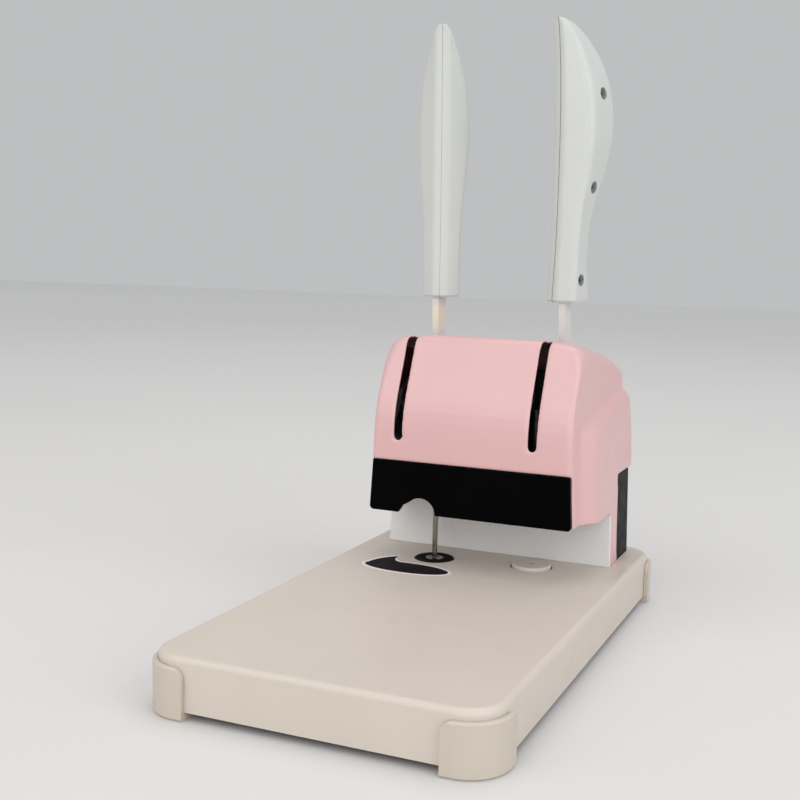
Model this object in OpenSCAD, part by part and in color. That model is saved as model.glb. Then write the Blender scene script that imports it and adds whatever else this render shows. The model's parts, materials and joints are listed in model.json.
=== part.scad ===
// Desk riveting machine for documents: a drill lever on the left, a rivet lever on the right.
// Origin: centre of the base, on the table. +X right, +Y to the rear, +Z up. Millimetres.

/* [Base] */
// Width of the base
base_w = 220; // [210:1:240]
// Depth of the base
base_d = 388; // [380:1:420]
// Height of the base's top face above the table
base_h = 38; // [36:0.5:46]
// Height of the base's underside above the table
base_gap = 5; // [4:0.5:6]
// Corner radius of the base seen from above
base_r = 23; // [18:1:28]
// Rounding of the base's top edge
base_edge_r = 4; // [3:0.5:6]
// Wall thickness of the base
base_wall = 3; // [2.5:0.5:4]
// Thickness of the base's top
base_top_t = 3.5; // [3:0.5:5]
// Thickness of the steel plate under the base
plate_t = 1.2; // [1:0.1:2]
// Wall thickness of a corner foot
foot_wall = 3.5; // [3:0.5:5]
// Height of a corner foot
foot_h = 32; // [26:1:34]
// Length of a corner foot along each side of the base
foot_leg = 29; // [26:1:40]

/* [Work points] */
// Drill axis, sideways from the middle
drill_x = -38; // [-42:0.5:-37]
// Drill axis, behind the middle of the base
drill_y = 83; // [82:0.5:85]
// Diameter of the cutting pad
pad_d = 30.6; // [28:0.2:34]
// How far the cutting pad stands above the base
pad_rise = 0.5; // [0.3:0.1:1]
// Rivet axis, sideways from the middle
rivet_x = 38; // [36.5:0.5:40]
// Rivet axis, behind the middle of the base
rivet_y = 93.5; // [92:0.5:95]
// Diameter of the riveting table
table_d = 30; // [28:0.5:34]
// How far the riveting table stands above the base
table_rise = 2.6; // [2:0.2:3]
// Front face of the paper stop, behind the middle of the base
stop_y = 118.8; // [118:0.2:121]
// Thickness of the paper stop
stop_t = 2; // [1.5:0.1:2.2]
// Half width of the paper stop
stop_half_w = 92.8; // [91:0.1:95]

/* [Head] */
// Height of the gap for the paper, from the base to the head
paper_gap = 41; // [38:0.5:44]
// Height of the dark front panel
fascia_h = 39; // [34:1:42]
// Thickness of the dark front panel
fascia_t = 3; // [2.5:0.5:3.5]
// Half width of the dark front panel
fascia_half_w = 79.6; // [79:0.1:80.6]
// Radius of the arch over the drill
arch_r = 12.2; // [11.6:0.1:12.6]
// Front of the head, behind the middle of the base
head_front = 50.8; // [49:0.2:52]
// Wall thickness of the pink cover
cover_wall = 2.4; // [2:0.1:2.8]
// Half width of the pink cover behind the flare
cover_half_w = 91.6; // [91:0.1:92.4]
// Half width of the pink cover's middle part at its front
dome_half_w = 80.2; // [79.5:0.1:81]
// How much the cover's sides lean inwards per millimetre of height
side_draft = 0.025; // [0:0.005:0.04]
// Width of the slots for the levers
slot_w = 6; // [6:0.1:7]
// Lower end of the slots above the table
slot_low = 134; // [126:1:136]
// Lower edge of the pink cover's rear above the table
rear_edge_z = 106; // [104:1:110]
// Rear face of the black rear cover
rear_y = 183.5; // [182:0.5:185]
// Wall thickness of the black rear cover
rear_wall = 2.4; // [2:0.1:3]

/* [Levers] */
// Height of the lever shaft above the table
pivot_z = 150; // [149:0.5:152]
// Diameter of the lever shaft
shaft_d = 12; // [10:0.5:13]
// Middle plane of the drill lever
drill_arm_x = -57.5; // [-58.5:0.1:-57]
// Middle plane of the rivet lever
rivet_arm_x = 48; // [47.6:0.1:49]
// Thickness of a lever bar
arm_t = 5; // [4:0.1:5.2]
// Depth of a lever bar
arm_d = 16.5; // [12:0.5:17]
// Forward lean of the drill lever at rest, in degrees
drill_lean = 3; // [0:0.5:6]
// Forward lean of the rivet lever at rest, in degrees
rivet_lean = 5.5; // [0:0.5:6]
// Backward bend of the drill lever inside its grip, in degrees
drill_bend = 1; // [0:0.5:6]
// Backward bend of the rivet lever inside its grip, in degrees
rivet_bend = 3.5; // [0:0.5:6]
// Length of a lever from the shaft to the lower end of its grip
arm_reach = 90.7; // [88:0.1:100]
// Module of the rack and pinion
gear_m = 1.25; // [1.1:0.05:1.3]
// Number of teeth of the pinion
gear_teeth = 32; // [30:2:32]
// Width of the pinion and its rack
gear_w = 9; // [7:0.5:10]
// Play between the teeth
backlash = 0.14; // [0.1:0.02:0.2]
// Travel of a lever, in degrees
swing = 88; // [80:1:88]

/* [Grips] */
// Length of a grip
grip_len = 209; // [190:1:230]
// Greatest depth of a grip, from its flat front to its belly
grip_d = 47.4; // [42:0.2:50]
// Greatest thickness of a grip
grip_t = 40.4; // [34:0.2:42]
// How far a grip's front is hollowed along its length
grip_bow = 3.4; // [0:0.1:4]
// Half width of the flat front of a grip
grip_flat = 5.5; // [4:0.5:6.5]
// Distance from a grip's flat front to the middle of its bar
grip_core = 12; // [11:0.5:13]
// Turn of the drill grip on its bar, in degrees
drill_grip_turn = 16; // [0:1:40]
// Turn of the rivet grip on its bar, in degrees
rivet_grip_turn = -38; // [-45:1:0]
// Diameter of the screw holes in a grip
grip_hole_d = 9.2; // [8:0.2:10]

/* [Drill] */
// Diameter of the drill's cutting tube
bit_d = 4; // [3.5:0.1:5]
// Bore of the drill's cutting tube
bit_bore = 2.8; // [2:0.1:3]
// Length of the drill's cutting tube
bit_len = 43.4; // [40:0.2:46]
// Diameter of the drill's shank
shank_d = 7; // [6:0.1:7.6]
// Length of the drill's shank
shank_len = 30; // [26:1:32]
// Outer diameter of the quill
quill_d = 30; // [28:0.5:30]
// Diameter of the spindle
spindle_d = 12; // [11:0.5:12]
// Diameter of the drill motor
motor_d = 28; // [24:0.5:28]
// Length of the drill motor
motor_len = 28; // [24:1:29]

/* [Riveting ram] */
// Diameter of the ram
ram_d = 13; // [11:0.5:13]
// Diameter of the heater block
heater_d = 26; // [22:0.5:28]
// Height of the heater block
heater_h = 14; // [12:0.5:15]
// Diameter of the upper die's nose
nose_d = 8; // [6:0.2:9]

/* [Frame] */
// Thickness of the side plates
side_t = 3; // [2.5:0.5:3]
// Inner face of a side plate, from the middle
side_x = 70; // [69:0.5:70]
// Thickness of the lower bridge
bridge_t = 5; // [4:0.5:6]
// Underside of the lower bridge above the table
bridge_z = 104; // [103:0.5:105]
// Diameter of the guide rods
rod_d = 8; // [7:0.5:9]
// Wire diameter of the return springs
spring_wire = 1; // [0.8:0.1:1.2]
// Outer diameter of the return springs
spring_d = 9; // [8:0.2:9.6]
// Number of turns of a return spring
spring_turns = 10; // [8:1:14]

/* [Fits] */
// Radial play of a piece that turns or slides in a bore
run_fit = 0.05; // [0.02:0.01:0.08]
// Gap between moving pieces that pass each other
pass_gap = 0.3; // [0.2:0.1:0.5]
// Radial play of fixed pieces in their seats
seat_fit = 0.02; // [0.01:0.01:0.03]

/* [Hidden] */
$fn = 64;
hull_fn = 28;

cream = "#d9cfc0";
foot_cream = "#cfc6b4";
pink = "#e6a3a8";
black = "#17171a";
white = "#e6e6e4";
grip_grey = "#cdd2cb";
steel = "#b9bcc0";
dark_steel = "#6b6e72";
brass = "#c9a658";
aluminium = "#c3c6c8";

// Heights and places that follow from the sizes above
base_under = base_h - base_top_t;
head_low = base_h + paper_gap;
fascia_top = head_low + fascia_h;
gear_r = gear_m * gear_teeth / 2;
gear_tip = gear_r + gear_m;
gear_root = gear_r - 1.25 * gear_m;
tooth_pitch = PI * gear_m;
rack_y = 112;
pivot_y = rack_y + gear_r;
stroke = gear_r * swing * PI / 180;
bridge_top = bridge_z + bridge_t;
tip_z = base_h + pad_rise + 0.1;
shank_z = tip_z + bit_len;
quill_low = 101;
quill_top = 160;
nut_h = 10.5;
nut_low = quill_low + 0.5;
bearing_h = 5;
bearing_d = 21;
bearing_low_z = 116;
bearing_top_z = 150;
stub_d = 6;
stub_h = 6;
spindle_low = nut_low + 2.5;
carriage_z = 142;
// Lowest gap of the racks, in teeth below the shaft
rack_foot = round((carriage_z - pivot_z) / tooth_pitch);
carriage_h = 10;
rod_x = 14;
drill_rod_y = drill_y;
rivet_rod_y = rivet_y;
drill_spring_y = drill_y + 17;
rivet_spring_y = rivet_y - 16;
tie_z = 191;
tie_t = 4;
rack_back = 12;
hub_d = 26;
boss_d = 18;
eye_d = 32;
column_rear = 143;
stop_rear = stop_y + stop_t;
side_front = 62;
side_rear = 166;
clip_t = 1;
bush_wall = 3;
bush_low = bridge_z - 10;
flange_t = 1.4;
pad_hole_d = bit_d + 0.7;
pad_bush_d = 13.6;
cup_wall = 3;
cup_floor = 2.5;
pad_t = 5.5;
pad_clear = 0.4;
nose_low = base_h + table_rise + stroke + 0.8;
nose_h = 8;
heater_low = nose_low + nose_h;
washer_t = 2;
stem_d = 5;
ram_low = heater_low + heater_h + washer_t;
ram_top = carriage_z + carriage_h + 8;
switch_x = 42;
switch_z = 72;
inlet_x = -42;
inlet_z = 70;
rocker_pivot_y = rear_y - 1.2;
rocker_tilt = 8;
rocker_pin_d = 2;

// Outline of the pink cover: centre y, centre z, half width and radius of each rounded bar
front_r = 3.2;
lean_r = 3.5;
crest_r = 10;
dome_bars = [[head_front + front_r, 60, 0], [head_front + 0.2 + front_r, 141, 0], [head_front + 0.9 + front_r, 149, 0],
    [head_front + 2.2 + front_r, 156, 0], [head_front + 4.2 + front_r, 163, 0], [57.9 + lean_r, 171.2, 0],
    [62.2 + lean_r, 179.6, 0], [67.6 + lean_r, 191, 0], [81.3, 201, 1], [104, 197.3, 1], [125, 193.4, 1],
    [145, 189.3, 1], [167.5, 180, 1], [150, 60, 2]];
dome_radii = [front_r, crest_r, 5];
crown_bars = [[83, 202.6], [105, 201], [136, 195.5]];
wide_bars = [[69, 30, -10.2, front_r], [69, 147, -10.2, front_r], [83.6, 30, 0, 6], [83.6, 145.2, 0, 6],
    [169, 168, -2.2, 4], [175.8, 163, 0, 4], [180.8, 151.5, 0, 4], [184.6, 135, 0, 4], [187.7, 104, 0, 4], [139, 30, 0, 4]];

// Half width of the head's middle part, narrower upwards and wider to the rear
function dome_half(y, z) = dome_half_w - 0.035 * (z - head_low) + 0.07 * (y - head_front);
function wide_half(z) = cover_half_w - side_draft * (z - head_low);

// A rectangle with round corners, made of true arcs
module round_rect(w, d, r) {
    square([w - 2 * r, d], center = true);
    square([w, d - 2 * r], center = true);
    for (sx = [-1, 1]) {
        for (sy = [-1, 1]) {
            translate([sx * (w / 2 - r), sy * (d / 2 - r)]) circle(r);
        }
    }
}

module tube(outer, inner, h) {
    difference() {
        cylinder(d = outer, h = h);
        translate([0, 0, -1]) cylinder(d = inner, h = h + 2);
    }
}

// A cylinder along +X
module rod_x_dir(d, len) {
    rotate([0, 90, 0]) cylinder(d = d, h = len);
}

// A cylinder along +Y
module rod_y_dir(d, len) {
    rotate([-90, 0, 0]) cylinder(d = d, h = len);
}

// A shape drawn in the plane of the levers, y across and z up, given a thickness along +X
module lever_plane(t) {
    rotate([90, 0, 90]) linear_extrude(t) children();
}

// ---- Base ----

module base_form() {
    hull() {
        for (sx = [-1, 1]) {
            for (sy = [-1, 1]) {
                translate([sx * (base_w / 2 - base_r), sy * (base_d / 2 - base_r), 0])
                    rotate_extrude($fn = 44) base_corner_profile();
            }
        }
    }
}

// Half section of a corner of the base, with its rounded top edge
module base_corner_profile() {
    steps = 5;
    arc = [for (i = [0:steps]) [base_r - base_edge_r + base_edge_r * cos(90 * i / steps),
        base_h - base_edge_r + base_edge_r * sin(90 * i / steps)]];
    polygon(concat([[0, base_gap], [base_r, base_gap]], arc, [[0, base_h]]));
}

plate_screws = [for (sx = [-1, 1]) for (y = [-base_d / 2 + 45, 0, base_d / 2 - 45]) [sx * (base_w / 2 - 14), y]];

module base_housing() color(cream) {
    pad_cup = pad_d + 2 * pad_clear;
    table_cup = table_d + 2;
    difference() {
        union() {
            difference() {
                base_form();
                translate([0, 0, base_gap - 1])
                    linear_extrude(base_under - base_gap + 1)
                        round_rect(base_w - 2 * base_wall, base_d - 2 * base_wall, base_r - base_wall);
            }
            translate([drill_x, drill_y, base_under - cup_floor - 2])
                cylinder(d = pad_cup + 2 * cup_wall, h = cup_floor + 2.5);
            translate([rivet_x, rivet_y, base_under - cup_floor - 2])
                cylinder(d = table_cup + 2 * cup_wall, h = cup_floor + 2.5);
            for (p = plate_screws) {
                translate([p[0], p[1], base_gap + plate_t])
                    cylinder(d = 9, h = base_under - base_gap - plate_t + 0.5, $fn = 32);
            }
        }
        translate([drill_x, drill_y, base_h + pad_rise - pad_t]) cylinder(d = pad_cup, h = pad_t + 1);
        translate([drill_x, drill_y, base_gap]) cylinder(d = pad_bush_d - 2, h = base_h);
        translate([rivet_x, rivet_y, base_h + table_rise - 7]) cylinder(d = table_cup, h = 8);
        translate([rivet_x, rivet_y, base_gap]) cylinder(d = 10, h = base_h);
        for (p = plate_screws) {
            translate([p[0], p[1], 0]) cylinder(d = 3.2, h = base_gap + plate_t + 12, $fn = 32);
        }
    }
}

module base_plate() color(dark_steel) {
    difference() {
        translate([0, 0, base_gap])
            linear_extrude(plate_t)
                round_rect(base_w - 2 * base_wall - 0.4, base_d - 2 * base_wall - 0.4, base_r - base_wall);
        for (p = plate_screws) {
            translate([p[0], p[1], 0]) cylinder(d = 3.6, h = 20, $fn = 32);
        }
    }
}

module base_screws() color(steel) {
    for (p = plate_screws) {
        translate([p[0], p[1], base_gap - 1.8]) {
            cylinder(d1 = 4.6, d2 = 6, h = 0.6, $fn = 32);
            translate([0, 0, 0.6]) cylinder(d = 6, h = 1.2, $fn = 32);
            cylinder(d = 3, h = 12, $fn = 32);
        }
    }
}

// One corner foot: a cup that wraps the corner of the base and carries it
module foot(sx, sy) color(foot_cream) {
    outer_r = base_r + foot_wall;
    cx = base_w / 2 - base_r;
    cy = base_d / 2 - base_r;
    edge_r = 7;
    leg = base_r + foot_wall;
    mirror([sx < 0 ? 1 : 0, 0, 0]) mirror([0, sy < 0 ? 1 : 0, 0])
        intersection() {
            difference() {
                translate([cx, cy, 0]) foot_block(outer_r);
                translate([cx, cy, base_gap]) {
                    cylinder(r = base_r + 0.1, h = foot_h);
                    translate([-60, -base_r, 0]) cube([60, 2 * base_r + 0.1, foot_h]);
                    translate([-base_r, -60, 0]) cube([2 * base_r + 0.1, 60, foot_h]);
                }
                translate([cx, cy, -1]) cylinder(r = base_r - 9, h = base_gap - 1);
            }
            foot_side(base_w, leg, edge_r);
            rotate([0, 0, 90]) mirror([0, 1, 0]) foot_side(base_d, leg, edge_r);
        }
}

module foot_block(r) {
    soft = 1.5;
    rotate_extrude() polygon([[0, 0], [r - soft, 0], [r, soft], [r, foot_h - 1], [r - 1, foot_h], [0, foot_h]]);
    translate([-60, 0, 0]) foot_bar(60, r, soft);
    translate([0, -60, 0]) rotate([0, 0, 90]) mirror([0, 1, 0]) foot_bar(60, r, soft);
}

// The straight stretch of a foot's wall, with the same soft edges as its corner
module foot_bar(len, r, soft) {
    rotate([90, 0, 90])
        linear_extrude(len)
            polygon([[0, 0], [r - soft, 0], [r, soft], [r, foot_h - 1], [r - 1, foot_h], [0, foot_h]]);
}

// Side view of a foot, rounded where its wall ends
module foot_side(size, leg, edge_r) {
    x0 = size / 2 - foot_leg;
    translate([0, 300, 0])
        rotate([90, 0, 0])
            linear_extrude(600) {
                translate([x0 + edge_r, -1]) square([foot_leg + foot_wall + 1 - edge_r, foot_h + 2]);
                translate([x0, -1]) square([edge_r + 1, foot_h + 1 - edge_r]);
                translate([x0 + edge_r, foot_h - edge_r]) circle(edge_r);
            }
}

module foot_front_left() foot(-1, -1);
module foot_front_right() foot(1, -1);
module foot_rear_left() foot(-1, 1);
module foot_rear_right() foot(1, 1);

// ---- Work points on the base ----

module cutting_pad() color(black) {
    low = base_h + pad_rise - pad_t;
    translate([drill_x, drill_y, low])
        difference() {
            union() {
                cylinder(d = pad_d, h = pad_t - 0.8);
                translate([0, 0, pad_t - 0.8]) cylinder(d1 = pad_d, d2 = pad_d - 1.6, h = 0.8);
            }
            translate([0, 0, -1]) cylinder(d = pad_bush_d + 2 * seat_fit, h = pad_t + 2);
        }
}

// Steel ring in the middle of the pad, dished, with the hole that the drill can enter
module pad_bush() color(steel) {
    low = base_h + pad_rise - pad_t;
    translate([drill_x, drill_y, low])
        difference() {
            cylinder(d = pad_bush_d, h = pad_t - 0.2);
            translate([0, 0, -1]) cylinder(d = pad_hole_d, h = pad_t + 2);
            translate([0, 0, pad_t - 1]) cylinder(d1 = pad_bush_d - 5, d2 = pad_bush_d - 1.5, h = 1);
        }
}

module rivet_table() color(cream) {
    low = base_h + table_rise - 7;
    translate([rivet_x, rivet_y, low])
        difference() {
            rotate_extrude()
                polygon([[0, 0], [table_d / 2, 0], [table_d / 2, 6], [table_d / 2 - 1, 7], [table_d / 2 - 2.4, 7],
                    [table_d / 2 - 3, 6.6], [0, 6.6]]);
            translate([0, 0, -1]) cylinder(d = 6 + 2 * seat_fit, h = 9);
        }
}

module lower_die() color(steel) {
    low = base_h + table_rise - 7;
    translate([rivet_x, rivet_y, low - 4])
        difference() {
            union() {
                cylinder(d = 9.4, h = 4);
                cylinder(d = 6, h = 10.6);
            }
            translate([0, 0, 9.9]) cylinder(d1 = 1, d2 = 3.2, h = 0.8);
        }
}

module paper_stop() color(white) {
    tongue = side_x - 0.3;
    upper_half = stop_half_w - side_draft * paper_gap;
    step_z = head_low - pass_gap;
    translate([0, stop_rear, 0])
        rotate([90, 0, 0])
            linear_extrude(stop_t)
                polygon([[-stop_half_w, base_h], [stop_half_w, base_h], [upper_half, step_z], [tongue, step_z],
                    [tongue, bridge_top + 3], [-tongue, bridge_top + 3], [-tongue, step_z], [-upper_half, step_z]]);
}

// ---- Frame of the head ----

side_shape = [[stop_rear + 3, base_h], [side_rear, base_h], [side_rear, 138], [148, 172], [112, 180],
    [88, 168], [side_front, 120], [side_front, bridge_z - 4], [stop_rear + 3, bridge_z - 4]];

module side_plate() {
    foot_w = 14;
    difference() {
        union() {
            translate([side_x, 0, 0]) lever_plane(side_t) polygon(side_shape);
            translate([side_x - foot_w, stop_rear + 3, base_h]) cube([foot_w, side_rear - stop_rear - 3, side_t]);
        }
        translate([side_x - 1, pivot_y, pivot_z]) rod_x_dir(shaft_d + 2 * seat_fit, side_t + 2);
        translate([side_x - 1, 148, 92]) rod_x_dir(24, side_t + 2);
        for (y = [stop_rear + 12, side_rear - 9]) {
            translate([side_x - foot_w / 2, y, base_h - 1]) cylinder(d = 4.3, h = side_t + 2, $fn = 32);
        }
    }
}

module side_plate_left() color(steel) mirror([1, 0, 0]) side_plate();
module side_plate_right() color(steel) side_plate();

module lower_bridge() color(steel) {
    hole_gap = 2 * seat_fit;
    difference() {
        translate([-side_x, side_front, bridge_z]) cube([2 * side_x, stop_y - 2 - side_front, bridge_t]);
        translate([drill_x, drill_y, bridge_z - 1])
            cylinder(d = quill_d + 2 * run_fit + 2 * bush_wall + hole_gap, h = bridge_t + 2);
        translate([rivet_x, rivet_y, bridge_z - 1])
            cylinder(d = ram_d + 2 * run_fit + 2 * bush_wall + hole_gap, h = bridge_t + 2);
        for (p = [[-rod_x, drill_rod_y], [rod_x, rivet_rod_y]]) {
            translate([p[0], p[1], bridge_z - 1]) cylinder(d = rod_d + hole_gap, h = bridge_t + 2);
        }
    }
}

module guide_rods() color(steel) {
    for (p = [[-rod_x, drill_rod_y], [rod_x, rivet_rod_y]]) {
        translate([p[0], p[1], bridge_z]) cylinder(d = rod_d, h = tie_z + tie_t - bridge_z);
    }
}

// Plate that ties the tops of the guide rods and holds the return springs
module top_tie() color(steel) {
    x_max = rod_x + rod_d / 2 + 4;
    y_min = rivet_spring_y - 6;
    y_max = drill_spring_y + 6;
    difference() {
        translate([-x_max, y_min, tie_z]) cube([2 * x_max, y_max - y_min, tie_t]);
        for (p = [[-rod_x, drill_rod_y], [rod_x, rivet_rod_y]]) {
            translate([p[0], p[1], tie_z - 1]) cylinder(d = rod_d + 2 * seat_fit, h = tie_t + 2);
        }
        for (p = [[-rod_x, drill_spring_y], [rod_x, rivet_spring_y]]) {
            translate([p[0], p[1], tie_z - 1]) cylinder(d = spring_wire + 0.6, h = tie_t + 2, $fn = 24);
        }
    }
}

module rear_brace() color(steel) {
    difference() {
        translate([-side_x, side_rear - 6, 112]) cube([2 * side_x, side_t, 24]);
        for (x = [-30, 0, 30]) {
            translate([x, side_rear - 7, 124]) rod_y_dir(12, side_t + 2);
        }
    }
}

// A flanged guide bush let into the lower bridge
module guide_bush(bore_d, low) {
    difference() {
        union() {
            translate([0, 0, low]) cylinder(d = bore_d + 2 * bush_wall, h = bridge_top - low);
            translate([0, 0, bridge_top]) cylinder(d = bore_d + 2 * bush_wall + 3, h = flange_t);
        }
        translate([0, 0, low - 1]) cylinder(d = bore_d, h = bridge_top + flange_t - low + 2);
    }
}

module quill_bush() color(brass) translate([drill_x, drill_y, 0]) guide_bush(quill_d + 2 * run_fit, bush_low);
module ram_bush() color(brass) translate([rivet_x, rivet_y, 0]) guide_bush(ram_d + 2 * run_fit, ram_low + 1);

module lever_shaft() color(steel) {
    reach = side_x + side_t + 4;
    difference() {
        translate([-reach, pivot_y, pivot_z]) rod_x_dir(shaft_d, 2 * reach);
        for (s = [-1, 1]) {
            translate([s * (side_x + side_t + pass_gap + clip_t / 2) - clip_t / 2 - 0.05, pivot_y, pivot_z])
                difference() {
                    rod_x_dir(shaft_d + 2, clip_t + 0.1);
                    translate([-1, 0, 0]) rod_x_dir(shaft_d - 1.4, clip_t + 3);
                }
        }
    }
}

module shaft_clips() color(dark_steel) {
    for (s = [-1, 1]) {
        translate([s * (side_x + side_t + pass_gap + clip_t / 2) - clip_t / 2, pivot_y, pivot_z])
            difference() {
                rod_x_dir(shaft_d + 5, clip_t);
                translate([-1, 0, 0]) rod_x_dir(shaft_d - 1.36, clip_t + 2);
                translate([-1, -2, -shaft_d]) cube([clip_t + 2, 4, shaft_d]);
            }
    }
}

module spacer(x0, x1) {
    translate([x0, pivot_y, pivot_z])
        difference() {
            rod_x_dir(shaft_d + 6, x1 - x0);
            translate([-1, 0, 0]) rod_x_dir(shaft_d + 2 * seat_fit, x1 - x0 + 2);
        }
}

module shaft_spacers() color(aluminium) {
    spacer(-side_x, drill_arm_x - arm_t / 2 - pass_gap);
    spacer(drill_x + gear_w / 2 + pass_gap, rivet_x - gear_w / 2 - pass_gap);
    spacer(rivet_arm_x + arm_t / 2 + pass_gap, side_x);
}

// ---- Covers ----

// Rounded bars joined into one form, drawn in by inset for the inside of a wall
module dome_form(inset) {
    hull() {
        for (b = dome_bars) {
            for (s = [-1, 1]) {
                translate([s * (dome_half(b[0], b[1]) - dome_radii[b[2]]), b[0], b[1]])
                    sphere(r = dome_radii[b[2]] - inset, $fn = hull_fn);
            }
        }
        for (b = crown_bars) {
            for (s = [-1, 1]) {
                translate([s * 46, b[0], b[1]]) sphere(r = crest_r - inset, $fn = hull_fn);
            }
        }
    }
}

module wide_form(inset) {
    hull() {
        for (b = wide_bars) {
            for (s = [-1, 1]) {
                translate([s * (wide_half(b[1]) + b[2] - b[3]), b[0], b[1]]) sphere(r = b[3] - inset, $fn = hull_fn);
            }
        }
    }
}

// The slot of one lever: a vertical cut with a round lower end, from the front over the crest
module lever_slot(x, lean) {
    rear = pivot_y - (205 - pivot_z) * tan(lean) + arm_d / 2 + 3;
    translate([x - slot_w / 2, 30, slot_low + slot_w / 2]) cube([slot_w, rear - 30, 100]);
    translate([x, 30, slot_low + slot_w / 2]) rod_y_dir(slot_w, 60);
    translate([x, rear, slot_low + 40]) cylinder(d = slot_w, h = 60);
}

module head_cover() color(pink) {
    mid_z = base_h - 20;
    difference() {
        union() {
            dome_form(0);
            wide_form(0);
        }
        dome_form(cover_wall);
        wide_form(cover_wall);
        translate([-150, 0, mid_z - 60]) cube([300, 300, base_h - mid_z + 60]);
        translate([-150, 0, 0]) cube([300, stop_rear + 0.2, head_low]);
        translate([-150, column_rear, 0]) cube([300, 100, rear_edge_z]);
        translate([-150, 0, 0]) cube([300, head_front + fascia_t + 0.2, fascia_top + 0.2]);
        translate([-fascia_half_w + 3, 0, 0]) cube([2 * fascia_half_w - 6, 66, fascia_top - 6]);
        lever_slot(drill_arm_x, drill_lean);
        lever_slot(rivet_arm_x, rivet_lean);
    }
}

// Arch over the drill, with a lower shoulder on its left, down past the panel's edge
module arch_shape() {
    below = 5;
    circle(arch_r);
    translate([-arch_r, -below]) square([2 * arch_r, below]);
    translate([-arch_r, 3.6]) circle(2.9);
    polygon([[0, -below], [0, arch_r - 1], [-5.2, arch_r - 1.2], [-arch_r, 6.45], [-14.9, 4.4], [-18.2, -0.4], [-18.2, -below]]);
}

// Dark front panel with the arch that shows the drill
module front_panel() color(black) {
    corner_r = 3;
    top_half = fascia_half_w - 2.1;
    translate([0, head_front + fascia_t, 0])
        rotate([90, 0, 0])
            linear_extrude(fascia_t)
                difference() {
                    union() {
                        polygon([[-fascia_half_w, head_low + corner_r], [-fascia_half_w + corner_r, head_low],
                            [fascia_half_w - corner_r, head_low], [fascia_half_w, head_low + corner_r],
                            [top_half, fascia_top], [-top_half, fascia_top]]);
                        for (s = [-1, 1]) {
                            translate([s * (fascia_half_w - corner_r - 0.05), head_low + corner_r]) circle(corner_r);
                        }
                    }
                    translate([drill_x, head_low]) arch_shape();
                }
}

// Black cover of the column's rear
module rear_cover() color(black) {
    half_w = wide_half(base_h) - 0.3;
    lean = wide_half(rear_edge_z) / wide_half(base_h);
    rim = side_x + side_t + 2;
    y0 = column_rear + 0.2;
    top = rear_edge_z - 0.2;
    corner_r = 7;
    difference() {
        translate([0, 0, base_h])
            linear_extrude(top - base_h, scale = [lean, 1], slices = 1)
                rear_plan(half_w, y0, rear_y, corner_r);
        translate([0, 0, base_h - 0.01])
            linear_extrude(top - base_h - rear_wall, scale = [lean, 1], slices = 1)
                rear_plan(half_w - rear_wall, y0 - 1, rear_y - rear_wall, corner_r - rear_wall);
        translate([-rim, y0 - 1, top - rear_wall - 0.5]) cube([2 * rim, side_rear + 2 - y0, rear_wall + 2]);
        for (i = [-3:3]) {
            translate([i * 9 - 1.5, rear_y - rear_wall - 1, 88]) cube([3, rear_wall + 2, 12]);
        }
        translate([inlet_x - 13.75, rear_y - rear_wall - 1, inlet_z - 10]) cube([27.5, rear_wall + 2, 20]);
        translate([switch_x - 7, rear_y - rear_wall - 1, switch_z - 10.5]) cube([14, rear_wall + 2, 21]);
        for (p = rear_screws) {
            translate([p[0], rear_y - rear_wall - 1, p[1]]) rod_y_dir(3.4, rear_wall + 2);
        }
    }
}

module rear_plan(half_w, y0, y1, r) {
    translate([-half_w, y0]) square([2 * half_w, y1 - y0 - r]);
    translate([-half_w + r, y0]) square([2 * (half_w - r), y1 - y0]);
    for (s = [-1, 1]) {
        translate([s * (half_w - r), y1 - r]) circle(r, $fn = 48);
    }
}

rear_screws = [for (sx = [-1, 1]) for (z = [base_h + 9, rear_edge_z - 10]) [sx * (cover_half_w - 14), z]];

module rear_cover_screws() color(dark_steel) {
    for (p = rear_screws) {
        translate([p[0], rear_y, p[1]]) {
            rod_y_dir(6, 1.2);
            translate([0, 1.2, 0]) rotate([-90, 0, 0]) cylinder(d1 = 6, d2 = 4.6, h = 0.6);
            translate([0, -8, 0]) rod_y_dir(3, 9);
        }
    }
}

// Circuit board for the motor and the heater, on four posts
module control_board() color("#2f6b45") {
    z0 = base_h + 6;
    board_w = 100;
    board_d = 34;
    inset = 4;
    translate([0, column_rear + 2, 0]) {
        translate([-board_w / 2, -board_d / 2, z0]) cube([board_w, board_d, 1.6]);
        for (sx = [-1, 1]) {
            for (sy = [-1, 1]) {
                translate([sx * (board_w / 2 - inset), sy * (board_d / 2 - inset), base_h]) cylinder(d = 6, h = 6.2, $fn = 32);
            }
        }
        translate([-40, -9, z0 + 1.5]) cube([19, 16, 15]);
        translate([-12, 0, z0 + 1.5]) cylinder(d = 14, h = 22);
        translate([8, -11, z0 + 1.5]) cube([30, 3, 20]);
        for (x = [10, 20, 30]) {
            translate([x, -8.5, z0 + 1.5]) cube([1.5, 12.5, 20]);
        }
    }
}

// Mains inlet: a socket with three flat pins
module power_inlet() color(black) {
    body_w = 27;
    body_h = 19.6;
    depth = 18;
    translate([inlet_x, rear_y, inlet_z]) {
        difference() {
            union() {
                translate([-15, 0, -11.5]) cube([30, 2, 23]);
                translate([-body_w / 2, -depth, -body_h / 2]) cube([body_w, depth + 0.5, body_h]);
            }
            translate([0, -depth + 2, 0])
                rotate([-90, 0, 0])
                    linear_extrude(depth + 10)
                        polygon([[-12, -8], [12, -8], [12, 4.5], [8.5, 8], [-8.5, 8], [-12, 4.5]]);
        }
        for (p = [[-7, -2], [0, 2], [7, -2]]) {
            translate([p[0] - 1, -depth + 1, p[1] - 2]) cube([2, depth - 4, 4]);
        }
    }
}

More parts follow.
